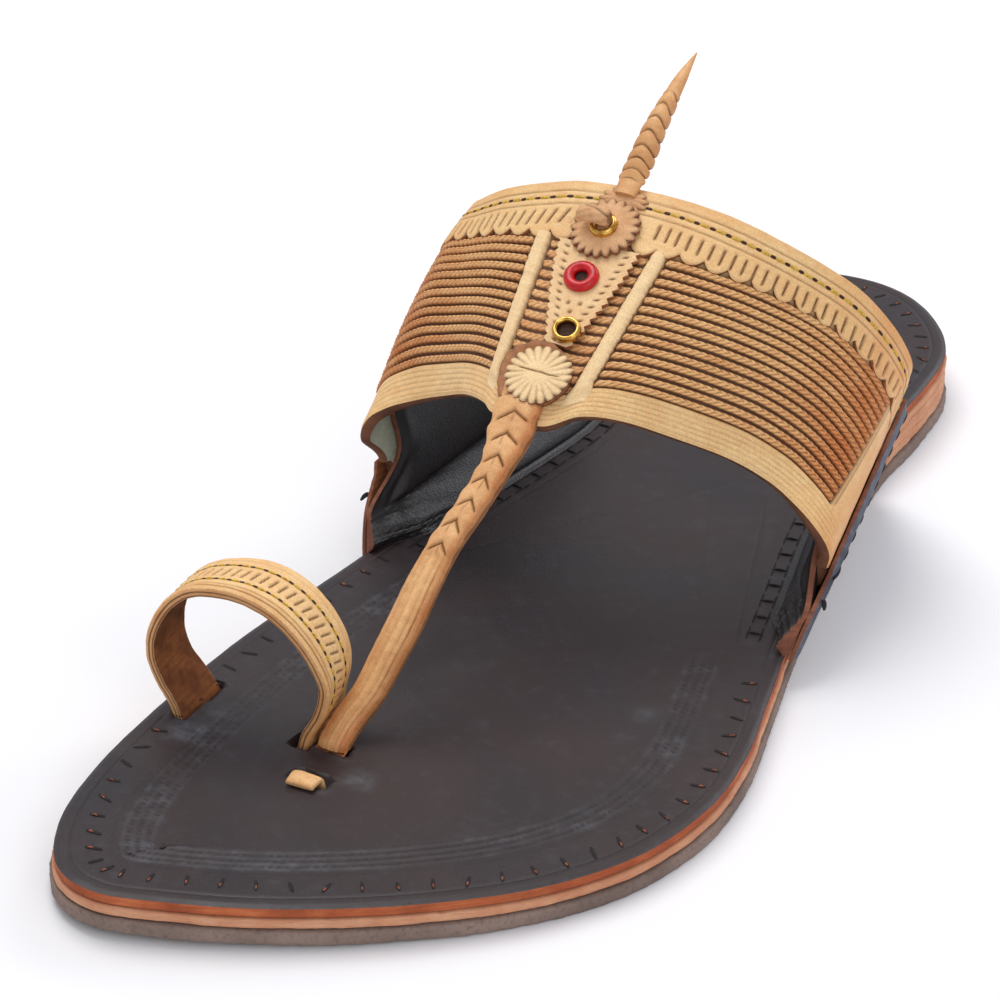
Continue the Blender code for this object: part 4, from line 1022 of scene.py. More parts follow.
def stitch_inset(run):
    """The row of stitches lies further from the edge at the toe tip and the heel."""
    y = ring_y(run)
    return (3.1 + 2.2 * step(-0.36 * LENGTH, -0.47 * LENGTH, y)
            + 1.0 * step(0.40 * LENGTH, 0.47 * LENGTH, y))


UP = np.array((0.0, 0.0, 1.0))


def add_sole_stitches():
    """Slits all round but between the ears, with thread left in three out of four."""
    sheet = Sheets()
    dice = np.random.default_rng(7)
    pairs = []
    for run in np.arange(3.0, PERIMETER - 2, STITCH_SPACING):
        if UNSTITCHED[0] < ring_y(run) < UNSTITCHED[1]:
            continue
        lean = dice.normal(0, 0.45)
        inset = float(stitch_inset(run)) + dice.normal(0, 0.15)
        length = STITCH_LENGTH + dice.normal(0, 0.2)
        pairs.append((ring_point(run + lean, inset), ring_point(run - lean, inset + length)))
    ups = [UP] * len(pairs)
    add_slits(sheet, *zip(*pairs), ups, 0.36, 0.11)
    kept = [pair for pair, seen in zip(pairs, dice.random(len(pairs)) < THREAD_SEEN) if seen]
    add_stitches(sheet, [a + (b - a) * 0.12 for a, b in kept],
                 [a + (b - a) * 0.5 for a, b in kept], ups, 0.2, 0.2)
    sheet.make("sole_stitches", [brown_thread, slit_shade])
    print(len(pairs), "stitches round the sole")


add_sole_stitches()

# %% Ladder stitches beside the ears
LADDER_INSETS = (5.7, 8.3)
LADDER_BAR = 4.9


def add_ladders():
    """Black stitches that hold the turned-up ears: two bars joined by a rung."""
    ladders = Sheets()
    heel_run = RING_RUN[HALF_STATIONS]
    for first, last, way in ((0.0, heel_run, 1), (heel_run, PERIMETER, -1)):
        for run in np.arange(first + 2, last - 2, STITCH_SPACING):
            if not EAR_FRONT[way] + 3 < ring_y(run) < EAR_REAR[way] - 4:
                continue
            for inset in LADDER_INSETS:
                bar = [[ring_point(run + end * LADDER_BAR / 2, inset)] for end in (-1, 1)]
                add_slits(ladders, *bar, [UP], 0.2, 0.12)
            rung = [[ring_point(run, LADDER_INSETS[0] - 0.3)],
                    [ring_point(run, LADDER_INSETS[1] + 0.3)]]
            add_stitches(ladders, *rung, [UP], 0.26, 0.25)
    ladders.make("ladder_stitches", [black_thread, slit_shade])


add_ladders()

# %% [markdown]
# ## Ears
# On each side a flap of the insole turns up inside the band's end, and an outer flap
# is laid over it. Both are sewn through with black thread. The leather creases where
# it is bent up, so the inner face gets ridges that run along the bend and fade higher
# up. Cloth simulation would also crease it, but the ridges of thick leather are few
# and follow the bend, so they are set directly.

# %% Inner ears
EAR_THICKNESS = 2.0
OUTER_EAR_THICKNESS = 1.8
BORDER_STEP = 0.6
INNER_EAR_ROWS = (0.2, 0.45, 0.9, 1.2, 2.0, 3.0, 3.9, 4.2)
# (from the sole's edge, over the insole) of the bend's lowest points, in millimetres
EAR_BEND = ((5.5, 0.03), (4.1, 0.6), (3.3, 2.2))
EAR_SET_BACK = 0.15
INNER_EAR_COLUMNS = 120


def closing(around):
    """Rises from 0 at the sole's edge to 1 at the band's end, where layers part."""
    return step(0.0, BAND_END, from_end(around))


def front_cut(along):
    """How many rows higher the band's front corners are cut off; 0 further back."""
    return 0.8 * (1 - step(0, 0.12, along))


def late_closing(around, along):
    """As closing, but the layers stay pressed together until just under the band."""
    return np.clip((from_end(around) - 0.85 - front_cut(along)) / 0.45, 0, 1)


def side_row(side, height):
    """Row of the instep at a height counted in rows from one side's sole edge."""
    return height if side < 0 else LAST_ROW - height


def add_inner_ear(name, side):
    """The flap that turns up from the insole; side -1 is medial."""
    along = np.linspace(0, 1, INNER_EAR_COLUMNS)
    y = ear_base(side, along)[:, 1]
    face_rows = []
    back_rows = [ear_base(side, along)]
    bend_share = step(0, 0.16, along) * step(1, 0.9, along)
    for inset, over in EAR_BEND:
        inset = 0.4 + (inset - 0.4) * bend_share + 1.2 * (1 - bend_share) * min(1, over)
        x = side_x(side, y) - side * inset
        face_rows.append(np.column_stack([x, y, insole_top(y) + over]))
    for height in INNER_EAR_ROWS:
        around = side_row(side, height)
        set_back = EAR_SET_BACK * float(step(1.3, 3.2, height))
        place = set_back + (1 - set_back) * along
        seam = late_closing(around, place)[:, None] * (BAND_SHEET + GAP + SURFACE_DROP)
        point = instep(around, place)
        normal = instep_normal(around, place)
        thin = 0.55 + 0.45 * step(0, 0.05, along) * step(1, 0.95, along)
        back_rows.append(point - normal * seam)
        if height > 0.5:
            face_rows.append(point - normal * (seam + EAR_THICKNESS * thin[:, None]))
    count = len(face_rows)
    places = np.concatenate([np.linspace(0, 3.2, 36), np.linspace(3.4, count - 1, 22)])
    face, back = (smooth_curve(np.stack(rows).reshape(count, -1), places)
                  .reshape(len(places), -1, 3) for rows in (face_rows, back_rows))
    thick = unit(face - back)
    low = step(0.0, 0.5, places) * step(4.6, 2.6, places)
    run = along * 75
    slant = run[None] * 0.3 + places[:, None] * 7.5
    folds = ripple(61 + side, 2.6, slant) * (0.6 + 0.4 * ripple(63, 15, run)[None])
    swing = folds + 0.5 * ripple(64, 1.7, slant + 0.3 * ripple(65, 6, run)[None])
    front = step(0.62, 0.0, along)[None]
    face = face + thick * (0.42 * low[:, None] * front * swing)[..., None]
    ear = Sheets()
    # Painted shade in the troughs of the creases, and painted highlights in grey on their ridges.
    crease = np.clip(-swing, 0, 1) * low[:, None] * front
    ear.leather(face, back, dark=0.8 * crease, warm=0.22 * np.clip(swing, 0, 1) * low[:, None],
                round_out=0.12)
    ear.make(name, [ear_lining_leather, ear_lining_leather, ear_edge],
             sharp=50)


add_inner_ear("ear_inner_medial", -1)
add_inner_ear("ear_inner_lateral", 1)

# %% Outer ears
EAR_STITCH_ROW = 1.72
OUTER_EAR_COLUMNS = 130
OUTER_EAR_ROWS = 34


def add_outer_ear(name, side):
    """The flap laid over the band's end from outside, sunk a little along its seam."""
    along = np.linspace(0, 1, OUTER_EAR_COLUMNS)
    heights = np.linspace(0.14, EAR_LINE, OUTER_EAR_ROWS)
    around = side_row(side, heights)[:, None]
    point = instep(around, along)
    normal = instep_normal(around, along)
    rise = (BORDER_STEP - SURFACE_DROP) * closing(around) + GAP
    edge_dip = (step(-0.01, 0.05, along) * step(1.01, 0.95, along))[None]
    edge_dip = edge_dip * step(2.02, 1.82, heights)[:, None]
    seam = groove((heights - EAR_STITCH_ROW) / 0.12, 1.0)[:, None]
    waves = (0.10 * ripple(71 + side, 26, along * 75)[None]
             + 0.05 * ripple(73, 7, heights * 9)[:, None])
    lift = OUTER_EAR_THICKNESS - 1.05 * (1 - edge_dip) - 0.22 * seam + waves
    face = point + normal * (rise + lift)[..., None]
    back = point + normal * (np.broadcast_to(rise, lift.shape))[..., None]
    ear = Sheets()
    # Lighter grey on the skived edges: partly wear, partly painted sheen. The sunk seam is darkened
    # with painted shade.
    marks_and_sheen = 0.5 * (1 - edge_dip)
    ear.leather(face, back, dark=0.5 * seam * np.ones_like(lift), warm=marks_and_sheen, round_out=0.18)
    ear.make(name, [ear_face_leather, suede, ear_edge], [name], sharp=50)


add_outer_ear("ear_medial", -1)
add_outer_ear("ear_lateral", 1)

# %% Ear stitches
def ear_stitch_ends(side, height, first, last, spacing, length):
    """Starts, ends and outward directions of a row of stitches on an outer ear."""
    around = side_row(side, height)
    reach = width_at(around)
    starts, ends, ups = [], [], []
    for along in np.arange(first, last, spacing / reach):
        pair = np.array((along, along + length / reach))
        normal = instep_normal(around, pair)
        lift = GAP + OUTER_EAR_THICKNESS - 0.3 + (BORDER_STEP - SURFACE_DROP) * closing(around)
        points = instep(around, pair) + normal * lift
        starts.append(points[0])
        ends.append(points[1])
        ups.append(normal[0])
    return starts, ends, ups


ear_stitches = Sheets()
for side in (-1, 1):
    add_stitches(ear_stitches, *ear_stitch_ends(side, EAR_STITCH_ROW, 0.03, 0.95, 5.4, 4.3),
                 0.42, 0.3)
    around = side_row(side, 1.35)
    out = instep_normal(around, 0.02)
    tie = instep(around, 0.02) + out * (GAP + OUTER_EAR_THICKNESS - 0.4)
    tail_end = tie + out * 1.0 + np.array((0.0, -1.9, -0.5))
    add_stitches(ear_stitches, [tie], [tail_end], [UP], 0.5, 0.3)
ear_stitches.make("ear_stitches", [black_thread])

# %% [markdown]
# ## Band
# The band is one wide piece of thick leather. Its front border is scored with fine
# lines, its ends are plain, and the field between them is cut down for the plaits. One
# grid of points gets a height from its place: border, field or end. The same could be
# done with Booleans or with a displacement texture, but a height worked out by place
# keeps every edge of the pattern straight and crisp.

# %% Layout of the band
FRONT_BORDER_END = 0.135
REAR_BORDER_START = 0.75
BRAIDS_START = 3.9
BRAID_COUNT = 14
MEDIAL_STRIP = (9.0, 9.7)
LATERAL_STRIP = (12.2, 12.85)
BRAID_PITCH = (REAR_BORDER_START - FRONT_BORDER_END) / BRAID_COUNT
SCORED_LINES = (0.022, 0.045, 0.066, 0.088, 0.110)
band_width = float(width_at(CENTRE))
print("band width", round(band_width, 1), "mm, braids", round(BRAID_PITCH * band_width, 2),
      "mm apart")


def warmth(around):
    """The leather is pale over the instep and tanned deeper towards both ends."""
    return 0.75 * np.where(around < CENTRE, step(8.3, 4.2, around), step(15.4, 18.7, around))


# %% Band sheet
BAND_SPACING = 0.56


def add_band():
    """One grid whose height is that of the border, the field or the end at each place."""
    places = even_rows(BAND_END, LAST_ROW - BAND_END, BAND_SPACING)
    widths = np.concatenate([np.linspace(0, FRONT_BORDER_END - 0.004, 40),
                             np.linspace(FRONT_BORDER_END + 0.004, REAR_BORDER_START, 26),
                             np.linspace(REAR_BORDER_START + 0.02, 1.0, 8)])
    around, along = np.meshgrid(places, widths)
    rows_up = from_end(around)
    cut = front_cut(along) * np.clip((BRAIDS_START - rows_up) / (BRAIDS_START - BAND_END), 0, 1)
    around = around + np.where(around < CENTRE, 1, -1) * cut
    field = step(BRAIDS_START - 0.03, BRAIDS_START + 0.03, rows_up)
    field = field * step(FRONT_BORDER_END - 0.003, FRONT_BORDER_END + 0.003, along)
    rear = step(REAR_BORDER_START - 0.01, REAR_BORDER_START + 0.02, along)
    height = BORDER_STEP * (1 - field) * (1 - rear) + 0.25 * rear
    wander = 0.004 * ripple(81, 40, run_at(around))
    lines = sum(groove((along - line - wander) * band_width, 0.32) for line in SCORED_LINES)
    border = 1 - step(FRONT_BORDER_END - 0.02, FRONT_BORDER_END - 0.01, along)
    lines = np.clip(lines * border * step(2.6, 3.4, rows_up), 0, 1)
    height = height - 0.12 * lines - 0.3 * (1 - step(0, 0.9 / band_width, along))
    height = height + 0.03 * ripple(82, 14, run_at(around), along * 60)
    face = on_instep(around, along, height)
    back = on_instep(around, along, -BAND_SHEET)
    strong = 0.20 + 0.12 * ripple(83, 9, run_at(around), along * 40)
    # The field shows only in the narrow gaps between plaits and is painted dark: painted shade. The
    # scored lines get painted shade, with some dirt, and a line of painted shade lies where the
    # plaits end.
    dark = np.maximum(0.95 * field * (1 - rear), strong * lines)
    end_line = groove(rows_up - BRAIDS_START + 0.12, 0.09) * (1 - rear)
    end_line = end_line * step(FRONT_BORDER_END, FRONT_BORDER_END + 0.02, along)
    dark = np.maximum(dark, 0.55 * end_line)
    warm = 0.12 + 0.5 * warmth(around) * step(4.6, 3.0, rows_up) + 0.22 * step(3.4, 2.0, rows_up)
    band = Sheets()
    band.leather(face, back, dark=dark, warm=warm, round_out=0.16)
    band.make("band", [band_leather, lining, band_edge], ["upper"], sharp=44)


add_band()

# %% [markdown]
# ## Plaits
# On the field lie fourteen narrow plaits on each side, each woven of thin leather
# laces. From a step away one sees a row of slanted lobes on either side of a middle
# line, the two sides half a lobe apart. One curve with an array of lobes would do, but
# here each plait is a grid whose height is a rounded profile times those lobes.

# %% Plait helper
LOBE_PITCH = 1.5
BRAID_HEIGHT = 0.9
BRAID_SHARE = 0.84
PLAIT_SPACING = 0.25
PLAIT_COLUMNS = 11


def add_plait(sheet, start, end, along, half, top, seed, warm_by=None):
    """A plait over the instep from one row to another, centred on a place along."""
    rows = even_rows(start, end, PLAIT_SPACING)
    run = run_at(rows)
    dice = np.random.default_rng(seed)
    wander = 0.05 * ripple(seed, 17, run)
    v = np.linspace(-1, 1, PLAIT_COLUMNS)[None]
    ends = np.minimum(run - run[0], run[-1] - run) / 0.9
    pinch = np.sqrt(np.clip(1 - (1 - np.clip(ends, 0, 1)) ** 2, 0.0, 1))[:, None]
    offset = v * half * (0.25 + 0.75 * pinch) + wander[:, None]
    phase = run[:, None] / LOBE_PITCH + dice.random() + 0.75 * np.abs(v)
    phase = phase + np.where(v > 0, 0.5, 0.0)
    lobe = np.abs(np.sin(math.pi * phase)) ** 0.6
    profile = np.clip(1 - np.abs(v) ** 3.4, 0, 1) ** 0.6
    middle = 1 - 0.16 * groove(v, 0.2)
    height = top * profile * (0.62 + 0.38 * lobe) * middle * pinch + 0.02
    height = np.where(np.abs(v) > 0.99, -0.15, height)
    ahead_and_back = instep(rows, along + 0.1) - instep(rows, along - 0.1)
    places = along + offset / (np.linalg.norm(ahead_and_back, axis=1) / 0.2)[:, None]
    around = np.broadcast_to(rows[:, None], places.shape)
    shade = 0.75 * (1 - lobe) ** 1.3 + 0.85 * step(0.72, 1.0, np.abs(v)) + 0.5 * (1 - pinch)
    warm = warmth(around) if warm_by is None else warm_by
    tone = warm + 0.10 * ripple(seed + 5, 21, run)[:, None] + 0.07 * dice.normal()
    sheet.grid(on_instep(around, places, height), 0, np.clip(shade, 0, 0.9),
               np.clip(tone, 0, 1))


def plait_rows(middle_row):
    """Place along and half width of each plait at a row of the instep."""
    half = BRAID_PITCH * float(width_at(middle_row)) * BRAID_SHARE / 2
    return [(FRONT_BORDER_END + (i + 0.5) * BRAID_PITCH, half) for i in range(BRAID_COUNT)]


# %% Long plaits
for name, start, end, seed in (
        ("braids_medial", BRAIDS_START + 0.05, MEDIAL_STRIP[0] + 0.02, 100),
        ("braids_lateral", LATERAL_STRIP[1] - 0.02, LAST_ROW - BRAIDS_START - 0.05, 200)):
    braids = Sheets()
    for i, (along, half) in enumerate(plait_rows((start + end) / 2)):
        add_plait(braids, start, end, along, half, BRAID_HEIGHT + 0.15, seed + i)
    braids.make(name, [braid_leather], sharp=70)

# %% [markdown]
# ## Strips and short plaits
# Two pale strips run from the front border to the rear one. Between them short plaits
# show beside the centre panel. The strips are skived thin at the edges, so their
# section is a flat top with two rounded shoulders.

# %% Strips
STRIP_STEP = 1.4
STRIP_FRONT = 0.075


def add_strip(sheet, rows, seed):
    """A pale strip between two rows, from the front border to the rear one."""
    along = np.linspace(STRIP_FRONT, REAR_BORDER_START + 0.015, 120)
    run = along * 60
    v = np.array((-1.0, -0.97, -0.85, -0.6, -0.3, 0.0, 0.3, 0.6, 0.85, 0.97, 1.0))
    middle = (rows[0] + rows[1]) / 2
    ragged = 0.07 * ripple(seed, 8, run) + 0.06 * ripple(seed + 7, 2.1, run)
    half = (rows[1] - rows[0]) / 2 * (0.94 + ragged)
    flare = 1 + 0.5 * step(0.17, 0.09, along)
    around = middle + v[None] * (half * flare)[:, None]
    shoulder = 1 - np.abs(v) ** 6
    root = step(0.085, 0.15, along)[:, None]
    height = BORDER_STEP - 0.47 + (STRIP_STEP - 0.1) * shoulder[None] * (0.42 + 0.58 * root)
    height = height + 0.05 * ripple(seed + 1, 5, run)[:, None]
    height[:, (0, -1)] = -0.2
    # Painted shade along the strip's edges, where it steps down; the ripple below adds darker
    # blotches.
    dark = 0.55 * step(0.9, 1.0, np.abs(v))[None] * root
    dark = dark + 0.08 * np.clip(ripple(seed + 2, 7, run), 0, 1)[:, None]
    sheet.grid(on_instep(around, along[:, None], height), 0, dark, -0.1)


strips = Sheets()
add_strip(strips, MEDIAL_STRIP, 301)
add_strip(strips, LATERAL_STRIP, 311)
strips.make("strips", [trim_leather], sharp=50)

short_braids = Sheets()
for start, end, seed in ((MEDIAL_STRIP[1] - 0.02, CENTRE - 0.1, 400),
                         (CENTRE + 0.1, LATERAL_STRIP[0] + 0.02, 450)):
    for i, (along, half) in enumerate(plait_rows(CENTRE)):
        add_plait(short_braids, start, end, along, half * 0.92, 0.55, seed + i, warm_by=0.25)
short_braids.make("short_braids", [braid_leather], sharp=70)

# %% [markdown]
# ## Rear border
# A second layer is sewn along the rear edge. Its front edge is punched into scallops,
# a row of slanted slits follows it, then an engraved line, a line of yellow thread and
# the plain edge. Rows of the grid follow the scallops at the front and straighten out
# behind them, so that the edge is cut cleanly instead of in steps.

# %% Rear border
REAR_BORDER_STEP = 1.3
REAR_BORDER_THICKNESS = 1.05
LOW_LIFT = 0.62
BORDER_SPACING = 0.3
SCALLOP_PITCH = 4.9
SCALLOP_DEPTH = 1.7
SLIT_PITCH = 2.35
ENGRAVED_LINES = (2.4, 5.5)
STITCH_FROM_EDGE = 3.9
SLITS = (6.7, 10.2)
SLIT_SLANT = 0.35


def border_lift(around):
    """Height of the rear border's face, which is lower on the band's plain ends."""
    return LOW_LIFT + (REAR_BORDER_STEP + 0.1 - LOW_LIFT) * step(3.2, 4.4, from_end(around))


def add_rear_border():
    """The scalloped layer along the rear edge; returns its width at each row."""
    rows = even_rows(BAND_END, LAST_ROW - BAND_END, BORDER_SPACING)
    run = run_at(rows)
    beat = (run - run_at(CENTRE)) / SCALLOP_PITCH
    reach = np.abs(np.sin(math.pi * beat)) ** 0.75
    reach = reach * step(2.6, 3.4, from_end(rows))
    width = width_at(rows)
    front = REAR_BORDER_START + 0.012 - (SCALLOP_DEPTH * (reach - 0.35)) / width
    depth = np.concatenate([(0.0, 0.012, 0.04, 0.075), np.linspace(0.11, 0.985, 42),
                            (0.995, 1.0)])[:, None]
    even = REAR_BORDER_START + (1 - REAR_BORDER_START) * depth
    curved = front[None] + (1 - front[None]) * depth
    blend = step(0.0, 0.38, depth)
    along = curved * (1 - blend) + even * blend
    from_edge = (1 - along) * width[None]
    around = np.broadcast_to(rows[None], along.shape)
    lift = border_lift(around)
    lines = sum(groove(from_edge - line, 0.34) for line in ENGRAVED_LINES)
    seam = groove(from_edge - STITCH_FROM_EDGE, 0.55)
    centre_gap = step(0.75, 0.95, np.abs(around - CENTRE))
    ends = step(2.5, 3.0, from_end(around))
    slant = run[None] + np.where(around < CENTRE, 1, -0.25) * SLIT_SLANT * (from_edge - 8.5)
    in_slit = step(SLITS[0] - 0.3, SLITS[0] + 0.4, from_edge)
    in_slit = in_slit * step(SLITS[1] + 0.3, SLITS[1] - 0.4, from_edge) * centre_gap * ends
    slits = groove(off_beat(slant / SLIT_PITCH, SLIT_PITCH), 0.46) * in_slit
    rim = 1 - step(0.0, 0.03, depth) * step(1.0, 0.985, depth)
    height = lift - 0.2 * lines - 0.16 * seam - 0.5 * slits - 0.22 * rim
    height = height + 0.05 * ripple(91, 13, run)[None] + 0.03 * ripple(92, 5, from_edge, run[None])
    # Painted shade in the slits, engraved lines and stitch line, and along the cut edges (rim).
    dark = np.clip(0.5 * lines + 0.15 * seam + 0.9 * slits + 0.3 * rim, 0, 0.9)
    warm = 0.16 + 0.5 * warmth(around) + 0.14 * step(3.0, 0.0, from_edge) + 0.2 * seam
    face = on_instep(around, along, height)
    back = on_instep(around, along, lift - REAR_BORDER_THICKNESS)
    border = Sheets()
    border.leather(face, back, dark=dark, warm=warm, round_out=0.1)
    border.make("rear_border", [band_leather, suede, tan_edge], sharp=42)
    return width, rows


border_width, border_rows = add_rear_border()

# %% Stitches of the rear border
THREAD_PITCH = 3.3
THREAD_LENGTH = 2.1
SEAM_END = 2.2


def add_border_stitches():
    """Yellow stitches and the holes between them, filled with painted shade, along the rear edge.
    """
    sheet = Sheets()
    for run in np.arange(run_at(SEAM_END), run_at(LAST_ROW - SEAM_END), THREAD_PITCH):
        rows = around_at(np.array((run, run + THREAD_LENGTH, run + THREAD_PITCH)))
        along = 1 - STITCH_FROM_EDGE / np.interp(rows, border_rows, border_width)
        points = on_instep(rows, along, border_lift(rows) - 0.12)
        add_seam(sheet, points, instep_normal(rows, along), (0.25, 0.16), (0.34, 0.1))
    sheet.make("border_stitches", [yellow_thread, hole_shade])


add_border_stitches()

# %% [markdown]
# ## Centre panel
# Between the strips lies a tapered panel with pinked, or zigzag, edges, a row of small
# slits along each side and three punched dots. It is laid on the short plaits.

# %% Panel
PANEL_START = 0.31
PANEL_END = 0.74
PANEL_HALF_WIDTH = 8.2
PANEL_SKEW = 1.6
PANEL_LOW = 0.8
PANEL_HIGH = 1.7
PANEL_WIDTHS = ((0.0, 0.39), (0.2, 0.56), (0.45, 0.76), (0.75, 0.93), (1.0, 1.0))
PINK_PITCH = 1.75
PINK_DEPTH = 0.95
PANEL_DOTS = ((-1.1, 0.0), (1.3, 0.3), (0.1, -1.9))
centre_row_width = float(np.linalg.norm(instep(CENTRE + 0.5, 0.5) - instep(CENTRE - 0.5, 0.5)))


def add_panel():
    """The tapered panel: pinked edges, a row of slits along each side, three dots."""
    length = (PANEL_END - PANEL_START) * band_width
    t = np.linspace(0, 1, 110)
    half = PANEL_HALF_WIDTH * np.interp(t, *zip(*PANEL_WIDTHS))
    tooth = 2 * np.abs((t * length / PINK_PITCH) % 1 - 0.5)
    v = np.concatenate([(-1.0, -0.975, -0.94), np.linspace(-0.9, 0.9, 62), (0.94, 0.975, 1.0)])
    edge = (half - PINK_DEPTH * tooth)[:, None] * (0.2 + 0.8 * np.abs(v[None]) ** 0.3)
    skew = PANEL_SKEW * (1 - t[:, None])
    across = np.sign(v)[None] * np.minimum(np.abs(v[None] * half[:, None]), edge) + skew
    along = PANEL_START + (PANEL_END - PANEL_START) * t[:, None]
    around = CENTRE + across / centre_row_width
    y = t[:, None] * length
    side = half[:, None] - np.abs(across - skew)
    slits = groove(off_beat((y + 0.35 * side) / PINK_PITCH, PINK_PITCH), 0.44)
    slits = slits * groove(side - 2.5, 0.95)
    dots = 0
    for dx, dy in PANEL_DOTS:
        near = np.hypot(across - PANEL_SKEW * 0.5 - dx, y - 0.40 * length - dy)
        dots = np.maximum(dots, groove(near, 0.75))
    height = PANEL_HIGH - 0.4 * slits - 0.4 * dots - 0.2 * (1 - step(0, 0.5, side))
    height = height + 0.05 * ripple(95, 6, across, y)
    # Painted shade in the slits, the punched dots and along the pinked edges.
    dark = np.clip(0.95 * slits + 0.8 * dots + 0.45 * (1 - step(0, 0.7, side)), 0, 0.9)
    panel = Sheets()
    panel.leather(on_instep(around, along, height), on_instep(around, along, PANEL_LOW),
                  dark=dark, warm=0.35, round_out=0.08)
    panel.make("centre_panel", [trim_leather, suede, tan_edge],
               ["centre_panel"], sharp=42)


add_panel()

# %% [markdown]
# ## Rosettes and leaf
# The rosettes are small discs of leather with pinked rims. The lower one is pleated:
# its folds run out from the middle and end in the teeth of the rim. It sits on a
# darker leaf that curls up at its side. Polar grids suit them, because the pleats
# follow the spokes.

# %% Rosette helper
def add_disc(name, place, radius, low, high, teeth, pleat, materials, seed, pink,
             dark_rim=0.3, crack=False, curl=0.0, warm=0.3, dome=0.3, uneven=0.0):
    """A round piece with a pinked rim and spokes of pleats, laid on the instep."""
    angles = circle(teeth * 10)
    radii = np.concatenate([np.linspace(0.02, 0.9, 26), (0.95, 0.985, 1.0)])[:, None]
    wave = np.abs(np.sin(angles * teeth / 2))[None]
    rim = 1 - pink * (1 - wave) * step(0.7, 1.0, radii)
    rim = rim * (1 + uneven * ripple(seed, 2.3, angles)[None])
    x, y = (radius * radii * rim * way(angles)[None] for way in (np.cos, np.sin))
    folds = ((0.5 + 0.5 * np.cos(angles * teeth)) ** 3)[None] * step(0.22, 0.7, radii)
    folds = folds * (0.8 + 0.3 * ripple(seed + 4, 1.1, angles)[None])
    height = (high + dome * (1 - radii ** 2) - pleat * folds - 0.15 * step(0.93, 1.0, radii)
              + 0.05 * ripple(seed + 1, 3, x, y))
    # Painted shade in the pleats' folds, in the notches between the teeth and in the crack.
    notch = (1 - wave) * step(0.72, 0.95, radii)
    dark = 1.5 * pleat * folds + dark_rim * step(0.9, 1.0, radii) + 5.0 * pink * notch
    if crack:
        bend = y - 0.06 * x - 0.5 + 0.25 * ripple(seed + 2, 6, x)
        line = groove(bend, 0.28) * step(radius * 0.72, radius * 0.5, np.abs(x))
        height = height - 0.35 * line
        dark = np.maximum(dark, 0.75 * line)
    curled = curl * step(0.55, 1.0, radii) * np.clip(np.sin(angles - 0.6), 0, 1)[None] ** 2
    height = height + curled
    around, along = beside(place, x, y)
    disc = Sheets()
    face = on_instep(around, along, height)
    back = on_instep(around, along, low + np.minimum(height - high, 0.0) * 0.5 + curled)
    disc.grid(face, 0, np.clip(dark, 0, 0.9), warm, wrap=True)
    disc.grid(back, 1, wrap=True)
    disc.grid(np.stack([face[-1], back[-1]]), 2, 0.2, wrap=True)
    disc.cap(face[0], 0, 0.0, warm)
    disc.cap(back[0], 1, 0.0, warm)
    disc.make(name, materials, [name], sharp=44)


LEAF_LOW = 1.2
LEAF_HIGH = 1.9
ROSETTE_LOW = PANEL_HIGH + GAP
ROSETTE_HIGH = ROSETTE_LOW + 0.9
TOP_PLACE = (CENTRE, 0.80)
add_disc("leaf", (CENTRE, 0.165), 7.3, LEAF_LOW, LEAF_HIGH, 15, 0.12,
         [rosette_leather, suede, suede], 501, 0.02, curl=0.8, warm=0.95,
         dome=0.0, uneven=0.07)
add_disc("rosette_front", (CENTRE + 0.2, 0.165), 6.3, LEAF_HIGH + 0.2, LEAF_HIGH + 1.1, 21, 0.26,
         [trim_leather, suede, tan_edge], 511, 0.08, crack=True, warm=-0.1)
add_disc("rosette_top", TOP_PLACE, 6.9, ROSETTE_LOW, ROSETTE_HIGH, 20, 0.05,
         [rosette_leather, suede, tan_edge], 521, 0.13, dark_rim=0.5, warm=0.2)

# %% [markdown]
# ## Metal eyelets
# Eyelets are spun from thin sheet and rolled over at the rim. Turning a short profile
# round an axis, as on a lathe, gives that shape; Blender's Screw modifier does the
# same, but here the rings are also pressed a little out of round by hand tools.

# %% Eyelets
def add_eyelet(name, place, lift, radius, hole_share, height, material, squash=0.0):
    """A rolled ring with a floor of painted shade; squash makes it a little oval."""
    seat = on_instep(*place, lift)
    normal = instep_normal(*place)
    across = unit(np.cross((0.0, 1.0, 0.0), normal))
    ahead_way = np.cross(normal, across)
    hole = radius * hole_share
    middle = (radius + hole) / 2
    tube = (radius - hole) / 2
    angles = circle(64)
    loops, shades = [], []
    profile = [(hole * 0.98, -0.12), (hole, 0.0)]
    for turn_angle in np.linspace(math.pi, 0, 13):
        profile.append((middle + tube * math.cos(turn_angle), height * math.sin(turn_angle) ** 0.8))
    profile.append((radius * 0.98, -0.15))
    for r, h in profile:
        bent = r * (1 + squash * np.cos(2 * angles + 0.7))
        loops.append(seat + np.outer(bent * np.cos(angles), across)
                     + np.outer(bent * np.sin(angles), ahead_way) + normal * h)
        shades.append(1.0 if h < 0.35 and r < middle else 0.0)
    eyelet = Sheets()
    eyelet.grid(np.stack(loops), 0, np.array(shades)[:, None], wrap=True)
    eyelet.cap(loops[0], 1, 1.0)
    eyelet.make(name, [material, hole_shade], [name], sharp=60)


METAL_LIFT = PANEL_HIGH + 0.25
add_eyelet("eyelet_red", (CENTRE, 0.59), METAL_LIFT, 3.5, 0.36, 1.2, lacquer, 0.04)
add_eyelet("eyelet_brass", (CENTRE + 0.3, 0.37), METAL_LIFT, 2.8, 0.6, 1.1, brass, 0.02)
add_eyelet("stud_ring", TOP_PLACE, ROSETTE_HIGH + 0.3, 2.8, 0.5, 1.2, brass)

# %% [markdown]
# ## Knot
# A rolled end of leather comes up through the brass ring and lies across it. The edge of
# the roll shows as a seam that winds a little, and its end sinks in round the middle.

# %% Knot
KNOT_LENGTH = 6.6
KNOT_RADIUS = 1.75
KNOT_OFFSET = 1.5
KNOT_FLATNESS = 0.86


